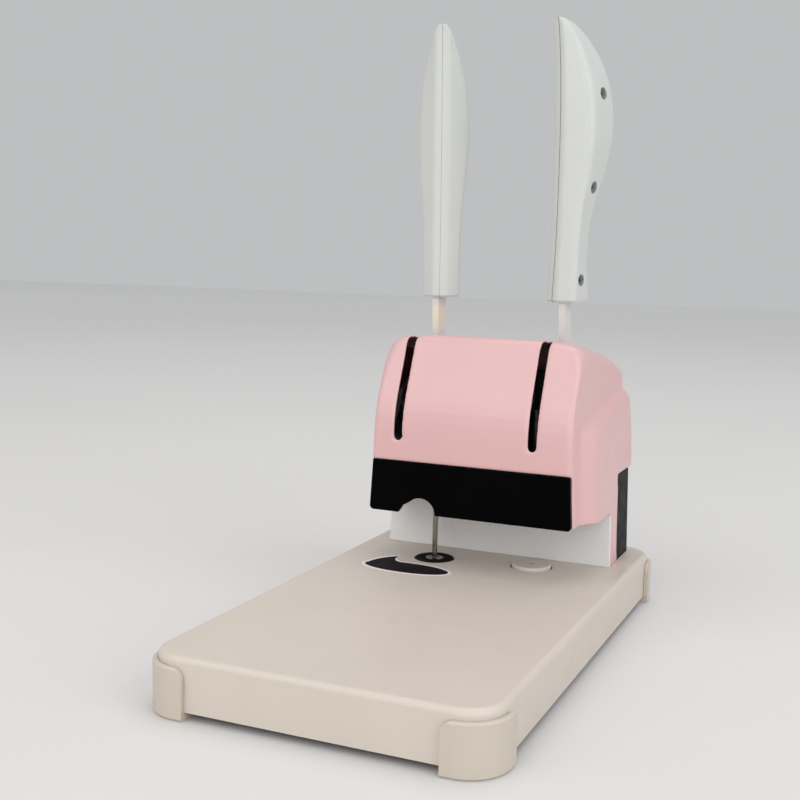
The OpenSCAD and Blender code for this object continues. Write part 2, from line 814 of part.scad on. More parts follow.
module switch_frame() color(black) {
    translate([switch_x, rear_y, switch_z])
        difference() {
            union() {
                translate([-9, 0, -12.5]) cube([18, 1.6, 25]);
                translate([-6.9, -14, -10.4]) cube([13.8, 14.5, 20.8]);
            }
            translate([-5.6, -9, -9.4]) cube([11.2, 20, 18.8]);
            translate([-8, rocker_pivot_y - rear_y, 0]) rod_x_dir(rocker_pin_d + 2 * run_fit, 16);
        }
}

module switch_rocker() color("#8c1f1f") {
    translate([switch_x, rocker_pivot_y, switch_z])
        rotate([rocker_tilt, 0, 0])
            union() {
                translate([-5.2, 0, 0])
                    lever_plane(10.4) polygon([[-4, -7], [-4, 7], [3.4, 8.4], [1.4, 0], [3.4, -8.4]]);
                translate([-6.6, 0, 0]) rod_x_dir(rocker_pin_d, 13.2);
            }
}

// ---- Rack and pinion ----

// Half angle of a tooth at radius r: an involute flank above the base circle
function involute(a) = tan(a) - a * PI / 180;
function tooth_half(r) = 90 / gear_teeth - backlash / 2 / gear_r * 180 / PI / 2
    + (involute(20) - involute(acos(min(1, gear_r * cos(20) / r)))) * 180 / PI;
flank_radii = [gear_root, gear_r * cos(20) + 0.05, gear_r, gear_tip];
function tooth_points(a) = concat(
    [for (r = flank_radii) r * [cos(a - tooth_half(max(r, flank_radii[1]))), sin(a - tooth_half(max(r, flank_radii[1])))]],
    [for (i = [3:-1:0]) let (r = flank_radii[i], h = tooth_half(max(r, flank_radii[1])))
        r * [cos(a + h), sin(a + h)]]);

// Toothed disc in the plane of the levers, a tooth pointing straight at the rack
module pinion_shape() {
    polygon([for (i = [0:gear_teeth - 1]) each tooth_points(180 + i * 360 / gear_teeth)]);
}

// Teeth of a rack in the plane of the levers; its pitch line stands at y = 0, z = 0 is a gap
module rack_shape(low, high) {
    half = tooth_pitch / 4 - backlash / 4;
    tip_half = half - gear_m * tan(20);
    root = 1.25 * gear_m;
    root_half = half + root * tan(20);
    first = ceil(low / tooth_pitch);
    last = floor(high / tooth_pitch) - 1;
    teeth = [for (k = [first:last]) let (z = (k + 0.5) * tooth_pitch)
        each [[-root, z - root_half], [gear_m, z - tip_half], [gear_m, z + tip_half], [-root, z + root_half]]];
    polygon(concat([[-rack_back, low], [-root, low]], teeth, [[-root, high], [-rack_back, high]]));
}

// Pinion with the hub that carries a lever bar; gear_x is its middle, arm_x the bar's
module pinion_hub(gear_x, arm_x) {
    s = sign(arm_x);
    boss_in = abs(arm_x) - arm_t / 2;
    gear_out = abs(gear_x) + gear_w / 2;
    mirror([s < 0 ? 1 : 0, 0, 0])
        difference() {
            union() {
                translate([abs(gear_x) - gear_w / 2, pivot_y, pivot_z]) lever_plane(gear_w) pinion_shape();
                translate([gear_out - 1, pivot_y, pivot_z]) rod_x_dir(hub_d, boss_in - gear_out + 1);
                translate([boss_in - 1, pivot_y, pivot_z]) rod_x_dir(boss_d, arm_t + 1);
            }
            translate([0, pivot_y, pivot_z]) rod_x_dir(shaft_d + 2 * run_fit, 100);
            for (a = [45:90:315]) {
                translate([0, pivot_y + 15.5 * cos(a), pivot_z + 15.5 * sin(a)]) rod_x_dir(4.4, gear_out + 0.01);
            }
        }
}

// Flat lever bar with the eye that sits on the hub, bent back inside its grip, notched for the grip's lowest screw
module lever_arm(i) {
    inside = 97;
    half = arm_d / 2;
    mitre = half * tan(bend[i] / 2);
    tip = [for (y = [half, -half])
        [y * cos(bend[i]) + inside * sin(bend[i]), arm_reach + inside * cos(bend[i]) - y * sin(bend[i])]];
    difference() {
        translate([arm_x[i] - arm_t / 2, pivot_y, pivot_z])
            rotate([lean[i], 0, 0])
                difference() {
                    union() {
                        rod_x_dir(eye_d, arm_t);
                        lever_plane(arm_t)
                            polygon([[-half, 0], [half, 0], [half, arm_reach - mitre], tip[0], tip[1], [-half, arm_reach + mitre]]);
                    }
                    translate([-1, 0, 0]) rod_x_dir(boss_d + 2 * seat_fit, arm_t + 2);
                }
        grip_place(i) translate([-12, grip_screws[0][1], grip_screws[0][0]]) rod_x_dir(3.6, 24);
    }
}

// ---- Grips ----

// Shares of the length, greatest depth, greatest thickness and bow, from the neck to the tip
grip_table = [[0, 0.696, 0.734, 0], [0.19, 0.613, 0.741, 0.6], [0.33, 0.677, 0.78, 0.86], [0.45, 0.86, 0.92, 0.97],
    [0.59, 1, 1, 1], [0.71, 0.995, 0.955, 0.9], [0.83, 0.844, 0.776, 0.64], [0.92, 0.591, 0.527, 0.25],
    [0.965, 0.387, 0.367, 0], [0.988, 0.237, 0.25, -0.25], [1, 0.07, 0.1, -0.4]];
grip_steps = 27;

function row_of(t, i) = i >= len(grip_table) - 2 || t <= grip_table[i + 1][0] ? i : row_of(t, i + 1);
function gap_of(i) = grip_table[i + 1][0] - grip_table[i][0];
function rise_of(i, c) = (grip_table[i + 1][c] - grip_table[i][c]) / gap_of(i);
function slope_of(i, c) = i == 0 ? rise_of(0, c) : i == len(grip_table) - 1 ? rise_of(i - 1, c)
    : (rise_of(i - 1, c) + rise_of(i, c)) / 2;

// Smooth curve through column c of the table
function share(t, c) = let (i = row_of(t, 0), h = gap_of(i), u = (t - grip_table[i][0]) / h)
    (1 + 2 * u) * pow(1 - u, 2) * grip_table[i][c] + u * pow(1 - u, 2) * h * slope_of(i, c)
    + u * u * (3 - 2 * u) * grip_table[i + 1][c] + u * u * (u - 1) * h * slope_of(i + 1, c);

// Three chords round the corner at v, between the neighbours a and b
function soft_corner(a, v, b, cut) = let (p = v + cut * (a - v) / norm(a - v), q = v + cut * (b - v) / norm(b - v))
    [for (i = [0:3]) let (u = i / 3) pow(1 - u, 2) * p + 2 * u * (1 - u) * v + u * u * q];

// Half section of the grip: flat front, widest ridge, belly
function grip_section(t) = let (d = grip_d * share(t, 1), b = 1.1 * grip_t / 2 * share(t, 2),
    a = min(grip_flat, 0.7 * b), c = 0.22 * b, ridge = [0.32 * d, b], front = [0, a], rear = [d, c])
    concat([[0, 0]], soft_corner([0, 0], front, ridge, 0.45 * a),
        soft_corner(front, ridge, rear, 0.15 * d), soft_corner(ridge, rear, [d, 0], 0.75 * c), [[d, 0]]);

// Stations along the grip: close together at the tip, with a soft edge at the neck
function grip_t_of(i) = i == 0 ? 0 : 1 - pow(1 - (i - 1) / (grip_steps - 1), 1.6);

module grip_half_solid() {
    m = len(grip_section(0));
    rings = [for (i = [0:grip_steps]) let (t = grip_t_of(i), k = i == 0 ? 0.93 : 1, z = i == 0 ? 0 : 1.4 + t * (grip_len - 1.4),
        s = grip_section(t), mid = [0.5 * grip_d * share(t, 1), 0],
        front = grip_bow * share(t, 3) - grip_core)
        [for (p = s) let (q = mid + k * (p - mid)) [q[1], q[0] + front, z]]];
    points = [for (ring = rings) each ring];
    sides = [for (i = [0:grip_steps - 1]) for (j = [0:m - 1]) let (a = i * m + j, b = i * m + (j + 1) % m)
        each [[a, a + m, b], [b, a + m, b + m]]];
    bottom = [[for (j = [0:m - 1]) j]];
    top = [[for (j = [m - 1:-1:0]) grip_steps * m + j]];
    polyhedron(points = points, faces = concat(sides, bottom, top));
}

grip_screws = [[16.5, 0.42 * grip_d - grip_core], [86, 0.61 * grip_d - grip_core], [155, 0.73 * grip_d - grip_core]];
screw_seat = 4.2;

// Side: 0 is the drill lever's, 1 the rivet lever's
arm_x = [drill_arm_x, rivet_arm_x];
lean = [drill_lean, rivet_lean];
bend = [drill_bend, rivet_bend];
turn = [drill_grip_turn, rivet_grip_turn];
grip_shift = [1.4, -1.2];

module grip_place(i) {
    translate([arm_x[i], pivot_y, pivot_z])
        rotate([lean[i], 0, 0])
            translate([grip_shift[i], 0, arm_reach]) rotate([-bend[i], 0, 0]) rotate([0, 0, turn[i]]) children();
}

module grip_cuts(i) {
    rotate([0, 0, -turn[i]])
        translate([-grip_shift[i] - arm_t / 2 - 0.1, -arm_d / 2 - 0.1, -30]) cube([arm_t + 0.2, arm_d + 0.2, 132]);
    for (p = grip_screws) {
        translate([-30, p[1], p[0]]) rod_x_dir(3.4, 60);
        translate([screw_seat, p[1], p[0]]) rod_x_dir(grip_hole_d, 40);
        translate([-43, p[1], p[0]]) rod_x_dir(grip_hole_d, 36);
    }
}

module grip_half(i, side) color(grip_grey) {
    grip_place(i)
        difference() {
            mirror([side < 0 ? 1 : 0, 0, 0]) grip_half_solid();
            grip_cuts(i);
        }
}

module grip_screw_set(i) color(dark_steel) {
    grip_place(i)
        for (p = grip_screws) {
            translate([-9, p[1], p[0]]) rod_x_dir(3, 9.2 + screw_seat);
            translate([screw_seat, p[1], p[0]])
                difference() {
                    rod_x_dir(6, 2);
                    translate([1, -0.5, -2]) cube([2, 1, 4]);
                    translate([1, -2, -0.5]) cube([2, 4, 1]);
                }
            translate([-9.02, p[1], p[0]]) rotate([0, 90, 0]) rotate([0, 0, 30]) cylinder(d = 5.8, h = 2, $fn = 6);
        }
}

// ---- Drill side ----

// Quill: sleeve with bearing seats, rack, and the arm that runs on the guide rod
module drill_quill() color(aluminium) {
    seat = 2 * seat_fit;
    difference() {
        union() {
            translate([drill_x, drill_y, quill_low]) cylinder(d = quill_d, h = quill_top - quill_low);
            translate([drill_x - gear_w / 2, rack_y, pivot_z])
                lever_plane(gear_w) rack_shape(rack_foot * tooth_pitch, 10 * tooth_pitch);
            translate([drill_x - 6, drill_y + 5, carriage_z]) cube([12, rack_y - 4 - drill_y - 5, carriage_h + 4]);
            translate([drill_x, drill_y - 8, carriage_z]) cube([-rod_x - drill_x, 16, carriage_h]);
            translate([drill_x, drill_y + 2, carriage_z]) cube([-rod_x + 4 - drill_x, 20, carriage_h]);
            translate([-rod_x, drill_rod_y, carriage_z]) cylinder(d = rod_d + 8, h = carriage_h);
        }
        translate([drill_x, drill_y, quill_low - 1]) cylinder(d = 22, h = bearing_low_z - quill_low);
        translate([drill_x, drill_y, bearing_low_z - 2]) cylinder(d = bearing_d + seat, h = bearing_h + 2);
        translate([drill_x, drill_y, 110]) cylinder(d = spindle_d + 5, h = quill_top);
        translate([drill_x, drill_y, bearing_top_z]) cylinder(d = bearing_d + seat, h = 20);
        translate([-rod_x, drill_rod_y, carriage_z - 1]) cylinder(d = rod_d + 2 * run_fit, h = carriage_h + 2);
        translate([-rod_x, drill_spring_y, carriage_z + 4]) cylinder(d = spring_wire + 0.6, h = 20, $fn = 24);
        translate([drill_x - quill_d, drill_y - 3.5, 128]) cube([quill_d, 7, 10]);
    }
}

module spindle_bearings() color(steel) {
    for (z = [bearing_low_z, bearing_top_z]) {
        translate([drill_x, drill_y, z]) tube(bearing_d, spindle_d + 2 * run_fit, bearing_h);
    }
}

module drill_motor() color(dark_steel) {
    translate([drill_x, drill_y, quill_top])
        difference() {
            union() {
                cylinder(d = motor_d, h = motor_len - 1.5);
                translate([0, 0, motor_len - 1.5]) cylinder(d1 = motor_d, d2 = motor_d - 3, h = 1.5);
                for (s = [-1, 1]) {
                    translate([s * 8 - 1.5, -0.4, motor_len - 0.5]) cube([3, 0.8, 2.4]);
                }
            }
            translate([0, 0, -1]) cylinder(d = stub_d + 2 * run_fit, h = stub_h + 1.5);
        }
}

// Hollow spindle; its upper stub is turned by the motor
module drill_spindle() color(steel) {
    top = quill_top - 1.5;
    translate([drill_x, drill_y, 0])
        difference() {
            union() {
                translate([0, 0, spindle_low]) cylinder(d = spindle_d, h = top - spindle_low);
                translate([0, 0, bearing_low_z - 2 - 0.3]) cylinder(d = spindle_d + 3, h = 2);
                translate([0, 0, top - 1]) cylinder(d = stub_d, h = quill_top + stub_h - top + 1);
            }
            translate([0, 0, spindle_low - 1]) cylinder(d = shank_d + 2 * run_fit, h = 148 - spindle_low + 1);
            translate([-10, 0, 144]) rod_x_dir(4, 20);
        }
}

// Hexagon nut that closes the chuck
module chuck_nut() color(dark_steel) {
    translate([drill_x, drill_y, nut_low])
        difference() {
            union() {
                cylinder(d = 18.6, h = nut_h - 0.6, $fn = 6);
                translate([0, 0, nut_h - 2]) cylinder(d = 16, h = 2);
            }
            translate([0, 0, -1]) cylinder(d = shank_d + 2 * run_fit, h = nut_h + 2);
            translate([0, 0, spindle_low - nut_low]) cylinder(d = spindle_d + 2 * seat_fit, h = nut_h);
        }
}

// Hollow drill, drawn down in its chuck until it stands just over the pad
module drill_bit() color("#d8dadd") {
    translate([drill_x, drill_y, tip_z])
        difference() {
            rotate_extrude()
                polygon([[0, 0], [bit_bore / 2, 0], [bit_d / 2, 1.2], [bit_d / 2, bit_len - 1.5],
                    [shank_d / 2, bit_len], [shank_d / 2, bit_len + shank_len - 0.8],
                    [shank_d / 2 - 0.8, bit_len + shank_len], [0, bit_len + shank_len]]);
            translate([0, 0, -1]) cylinder(d = bit_bore - 0.1, h = bit_len + shank_len + 2);
        }
}

// ---- Rivet side ----

module rivet_ram() color(aluminium) {
    difference() {
        union() {
            translate([rivet_x, rivet_y, ram_low]) cylinder(d = ram_d, h = ram_top - ram_low);
            translate([rivet_x - gear_w / 2, rack_y, pivot_z])
                lever_plane(gear_w) rack_shape(rack_foot * tooth_pitch, 10 * tooth_pitch);
            translate([rivet_x - 5, rivet_y, carriage_z]) cube([10, rack_y - 4 - rivet_y, carriage_h + 4]);
            translate([rod_x, rivet_y - 5, carriage_z]) cube([rivet_x - rod_x, 10, carriage_h]);
            translate([rod_x - 4, rivet_spring_y - 4, carriage_z]) cube([8, 18, carriage_h]);
            translate([rod_x, rivet_rod_y, carriage_z]) cylinder(d = rod_d + 8, h = carriage_h);
        }
        translate([rod_x, rivet_rod_y, carriage_z - 1]) cylinder(d = rod_d + 2 * run_fit, h = carriage_h + 2);
        translate([rod_x, rivet_spring_y, carriage_z + 4]) cylinder(d = spring_wire + 0.6, h = 20, $fn = 24);
        translate([rivet_x, rivet_y, ram_low - 1]) cylinder(d = stem_d + 2 * seat_fit, h = 30);
    }
}

module heat_washer() color("#d8c9a8") {
    translate([rivet_x, rivet_y, ram_low - washer_t]) tube(ram_d + 7, stem_d + 2 * seat_fit, washer_t);
}

module heater_block() color(aluminium) {
    translate([rivet_x, rivet_y, heater_low])
        difference() {
            union() {
                cylinder(d = heater_d - 4, h = heater_h);
                for (i = [0:3]) {
                    translate([0, 0, 1 + i * (heater_h - 2.5) / 3.3]) cylinder(d = heater_d, h = 2);
                }
            }
            translate([0, 0, -1]) cylinder(d = stem_d + 2 * seat_fit, h = heater_h + 2);
            translate([-20, 7, heater_h / 2]) rod_x_dir(4, 40);
        }
}

// Upper die: a nose that folds the rivet, on a stem through the heater
module upper_die() color(steel) {
    translate([rivet_x, rivet_y, nose_low])
        difference() {
            rotate_extrude()
                polygon([[0, 0], [nose_d / 2 - 1, 0], [nose_d / 2, 1], [nose_d / 2, 4.5], [nose_d / 2 + 2, 6],
                    [nose_d / 2 + 2, nose_h], [stem_d / 2, nose_h], [stem_d / 2, nose_h + heater_h + 18],
                    [0, nose_h + heater_h + 18]]);
            translate([0, 0, -1]) cylinder(d = 2.4, h = 6);
        }
}

// ---- Return springs ----

// A tube along the points of path, with 6 sides and level ends
module wire(path, d) {
    sides = 6;
    n = len(path);
    rings = [for (i = [0:n - 1]) let (t = path[min(i + 1, n - 1)] - path[max(i - 1, 0)], w = t / norm(t),
        side = cross([0, 0, 1], w), u = norm(side) < 0.05 ? [1, 0, 0] : side / norm(side), v = cross(w, u))
        [for (j = [0:sides - 1]) let (a = 360 * j / sides) path[i] + d / 2 * (cos(a) * u + sin(a) * v)]];
    faces = [for (i = [0:n - 2]) for (j = [0:sides - 1]) let (a = i * sides + j, b = i * sides + (j + 1) % sides)
        each [[a, b, a + sides], [b, b + sides, a + sides]]];
    bottom = [[for (j = [sides - 1:-1:0]) j]];
    top = [[for (j = [0:sides - 1]) (n - 1) * sides + j]];
    polyhedron(points = [for (r = rings) each r], faces = concat(faces, bottom, top));
}

// Close-wound return spring between the carriage and the top tie, one unbroken wire
module return_spring(x, y) color(steel) {
    low = carriage_z + carriage_h + 4;
    high = tie_z - 4;
    r = (spring_d - spring_wire) / 2;
    per_turn = 8;
    count = spring_turns * per_turn;
    coil = [for (i = [0:count]) let (a = 360 * i / per_turn)
        [r * sin(a), r * cos(a), low + (high - low) * i / count]];
    wire(concat([[0, 0, carriage_z + 4.4], [0, 0, low - 2.6], [0, r * 0.4, low - 1.2]], coil,
        [[0, r * 0.4, high + 1.2], [0, 0, high + 2.6], [0, 0, tie_z + tie_t - 0.5]]) + [for (i = [1:count + 7]) [x, y, 0]],
        spring_wire);
}

module drill_spring() return_spring(-rod_x, drill_spring_y);
module rivet_spring() return_spring(rod_x, rivet_spring_y);

// ---- Sub-parts that share a module ----

module drill_pinion() color(dark_steel) pinion_hub(drill_x, drill_arm_x);
module rivet_pinion() color(dark_steel) pinion_hub(rivet_x, rivet_arm_x);
module drill_arm() color(white) lever_arm(0);
module rivet_arm() color(white) lever_arm(1);
module drill_grip_left() grip_half(0, -1);
module drill_grip_right() grip_half(0, 1);
module drill_grip_screws() grip_screw_set(0);
module rivet_grip_left() grip_half(1, -1);
module rivet_grip_right() grip_half(1, 1);
module rivet_grip_screws() grip_screw_set(1);

base_housing();
base_plate();
base_screws();
foot_front_left();
foot_front_right();
foot_rear_left();
foot_rear_right();
cutting_pad();
pad_bush();
rivet_table();
lower_die();
paper_stop();
side_plate_left();
side_plate_right();
lower_bridge();
top_tie();
rear_brace();
quill_bush();
ram_bush();
guide_rods();
lever_shaft();
shaft_spacers();
shaft_clips();
head_cover();
front_panel();
rear_cover();
rear_cover_screws();
control_board();
power_inlet();
switch_frame();
switch_rocker();
drill_pinion();
drill_arm();
drill_grip_left();
drill_grip_right();
drill_grip_screws();
rivet_pinion();
rivet_arm();
rivet_grip_left();
rivet_grip_right();
rivet_grip_screws();
drill_quill();
drill_motor();
spindle_bearings();
drill_spindle();
chuck_nut();
drill_bit();
rivet_ram();
heat_washer();
heater_block();
upper_die();
drill_spring();
rivet_spring();
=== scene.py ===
import json
import math

import bmesh
import bpy
import numpy as np
from mathutils import Matrix, Vector, kdtree
from mathutils.bvhtree import BVHTree


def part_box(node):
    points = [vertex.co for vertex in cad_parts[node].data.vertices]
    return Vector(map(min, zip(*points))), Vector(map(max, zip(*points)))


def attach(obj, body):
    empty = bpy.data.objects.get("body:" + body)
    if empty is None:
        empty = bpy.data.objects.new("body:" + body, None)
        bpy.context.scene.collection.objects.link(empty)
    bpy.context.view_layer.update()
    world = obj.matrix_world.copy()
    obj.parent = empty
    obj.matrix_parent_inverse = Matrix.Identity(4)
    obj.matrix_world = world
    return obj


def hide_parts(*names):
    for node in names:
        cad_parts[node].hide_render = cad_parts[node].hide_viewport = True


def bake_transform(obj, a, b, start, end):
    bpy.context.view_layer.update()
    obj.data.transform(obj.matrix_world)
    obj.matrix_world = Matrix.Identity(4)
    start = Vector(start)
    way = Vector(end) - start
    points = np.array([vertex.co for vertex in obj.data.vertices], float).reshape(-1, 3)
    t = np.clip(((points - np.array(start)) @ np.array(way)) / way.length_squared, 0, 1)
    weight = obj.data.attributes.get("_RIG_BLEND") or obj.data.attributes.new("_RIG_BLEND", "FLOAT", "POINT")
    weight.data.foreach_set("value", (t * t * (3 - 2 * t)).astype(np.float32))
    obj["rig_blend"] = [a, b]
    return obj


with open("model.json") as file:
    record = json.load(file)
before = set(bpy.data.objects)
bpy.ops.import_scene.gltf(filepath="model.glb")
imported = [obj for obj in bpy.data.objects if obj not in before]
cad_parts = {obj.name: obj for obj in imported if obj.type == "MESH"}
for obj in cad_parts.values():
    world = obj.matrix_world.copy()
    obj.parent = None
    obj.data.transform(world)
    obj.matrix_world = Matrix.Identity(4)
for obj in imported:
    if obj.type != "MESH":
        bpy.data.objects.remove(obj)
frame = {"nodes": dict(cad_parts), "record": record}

nodes = frame["nodes"]
bodyOf = {node: body for body, members in frame["record"]["behaviour"]["bodies"].items() for node in members}
slotOf = {part["node"]: part["material_slot"] for part in frame["record"]["subparts"]}
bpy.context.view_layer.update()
mm = 0.001
print("frame loaded:", len(nodes), "nodes")


# Materials: one recipe, fed by a dictionary of values for each finish of the machine

def addNode(tree, kind, **settings):
    made = tree.nodes.new(kind)
    for key, value in settings.items():
        setattr(made, key, value)
    return made


def noiseFrom(tree, place, size, detail, stretch=(1, 1, 1)):
    mapping = addNode(tree, "ShaderNodeMapping")
    mapping.inputs["Scale"].default_value = [axis / size for axis in stretch]
    tree.links.new(place, mapping.inputs["Vector"])
    noise = addNode(tree, "ShaderNodeTexNoise")
    noise.inputs["Scale"].default_value = 1.0
    noise.inputs["Detail"].default_value = detail
    tree.links.new(mapping.outputs["Vector"], noise.inputs["Vector"])
    return noise.outputs["Fac"]


def spread(tree, value, low, high, fromLow=0.3, fromHigh=0.7):  # most of a noise lies between these two
    ranged = addNode(tree, "ShaderNodeMapRange")
    ranged.inputs["From Min"].default_value = fromLow
    ranged.inputs["From Max"].default_value = fromHigh
    ranged.inputs["To Min"].default_value = low
    ranged.inputs["To Max"].default_value = high
    tree.links.new(value, ranged.inputs["Value"])
    return ranged.outputs["Result"]


def mixColour(tree, share, first, second):
    mix = addNode(tree, "ShaderNodeMix", data_type="RGBA")
    for socket, value in ((mix.inputs[6], first), (mix.inputs[7], second)):
        if isinstance(value, tuple):
            socket.default_value = (*value, 1)
        else:
            tree.links.new(value, socket)
    tree.links.new(share, mix.inputs[0])
    return mix.outputs[2]


def attribute(tree, name):
    return addNode(tree, "ShaderNodeAttribute", attribute_name=name).outputs["Fac"]


# What a finish has where its own dictionary doesn't say otherwise
usualLook = {
    "patchSize": 0.03, "patchDetail": 4.0, "speckDetail": 1.0, "speckSpan": (0.5, 0.7), "edgeMarkSize": 0.006,
    "edgeMarkDetail": 4.0, "edgeMarkSpan": (0.35, 0.6), "smearSize": 0.012, "smearDetail": 5.0, "grainDetail": 2.0,
    "swellSize": 0.02, "swellDetail": 1.0, "swell": 3.0, "stretch": (1, 1, 1), "bump": 0.3, "metal": 0.0,
    "ior": 1.5, "coat": 0.0, "coatRough": 0.1, "specular": 0.5,
}


def makeFinish(name, given):
    look = {**usualLook, **given}
    material = bpy.data.materials.new(name)
    material.use_nodes = True
    tree = material.node_tree
    shader = tree.nodes["Principled BSDF"]
    place = addNode(tree, "ShaderNodeTexCoord").outputs["Object"]
    stretch = look["stretch"]

    patches = noiseFrom(tree, place, look["patchSize"], look["patchDetail"])
    colour = mixColour(tree, spread(tree, patches, 0, 1), look["colour"], look["second"])
    if "speck" in look:  # fine flecks of the powder coat
        flecks = noiseFrom(tree, place, look["speckSize"], look["speckDetail"])
        share = spread(tree, flecks, 0, look["speckShare"], *look["speckSpan"])
        colour = mixColour(tree, share, colour, look["speck"])
    if "bands" in look:  # other colours above set heights, as on the levers
        height = addNode(tree, "ShaderNodeSeparateXYZ")
        tree.links.new(place, height.inputs[0])
        for low, high, tone in look["bands"]:
            share = spread(tree, height.outputs["Z"], 0, 1, low, high)
            colour = mixColour(tree, share, colour, tone)
    if "far" in look:  # painted light: the floor is painted paler with distance, in place of the lamps' light that falls off, and meets the backdrop without a line
        away = addNode(tree, "ShaderNodeVectorMath", operation="LENGTH")
        tree.links.new(place, away.inputs[0])
        share = spread(tree, away.outputs["Value"], 0, 1, *look["farReach"])
        colour = mixColour(tree, share, colour, look["far"])
    if "inside" in look:  # painted shade: the hollow of the moulding, where little light reaches, coloured dark maroon
        colour = mixColour(tree, attribute(tree, "inside"), colour, look["inside"])
    if "edgeWearAndHighlight" in look:  # the lighter edge colour: rubbed wear together with a painted edge highlight, broken up by a noise
        edgeMarkNoise = noiseFrom(tree, place, look["edgeMarkSize"], look["edgeMarkDetail"])
        broken = addNode(tree, "ShaderNodeMath", operation="MULTIPLY")
        tree.links.new(attribute(tree, "rim"), broken.inputs[0])
        tree.links.new(spread(tree, edgeMarkNoise, 0, look["edgeWearAndHighlightShare"], *look["edgeMarkSpan"]), broken.inputs[1])
        colour = mixColour(tree, broken.outputs[0], colour, look["edgeWearAndHighlight"])
    if "seamShade" in look:  # painted shade in the gap where two shells meet, drawn as a dark line
        colour = mixColour(tree, attribute(tree, "seamShade"), colour, look["seamShade"])
    tree.links.new(colour, shader.inputs["Base Color"])

    smears = noiseFrom(tree, place, look["smearSize"], look["smearDetail"], stretch)
    tree.links.new(spread(tree, smears, *look["rough"]), shader.inputs["Roughness"])

    grain = noiseFrom(tree, place, look["grainSize"], look["grainDetail"], stretch)
    swell = noiseFrom(tree, place, look["swellSize"], look["swellDetail"])
    depth = addNode(tree, "ShaderNodeMath", operation="MULTIPLY_ADD")
    depth.inputs[1].default_value = look["swell"]
    tree.links.new(swell, depth.inputs[0])
    tree.links.new(grain, depth.inputs[2])
    bump = addNode(tree, "ShaderNodeBump")
    bump.inputs["Strength"].default_value = look["bump"]
    bump.inputs["Distance"].default_value = look["grainDepth"]
    tree.links.new(depth.outputs[0], bump.inputs["Height"])
    tree.links.new(bump.outputs["Normal"], shader.inputs["Normal"])

    for socket, key in (("Metallic", "metal"), ("IOR", "ior"), ("Coat Weight", "coat"),
                        ("Coat Roughness", "coatRough"), ("Specular IOR Level", "specular")):
        shader.inputs[socket].default_value = look[key]
    return material
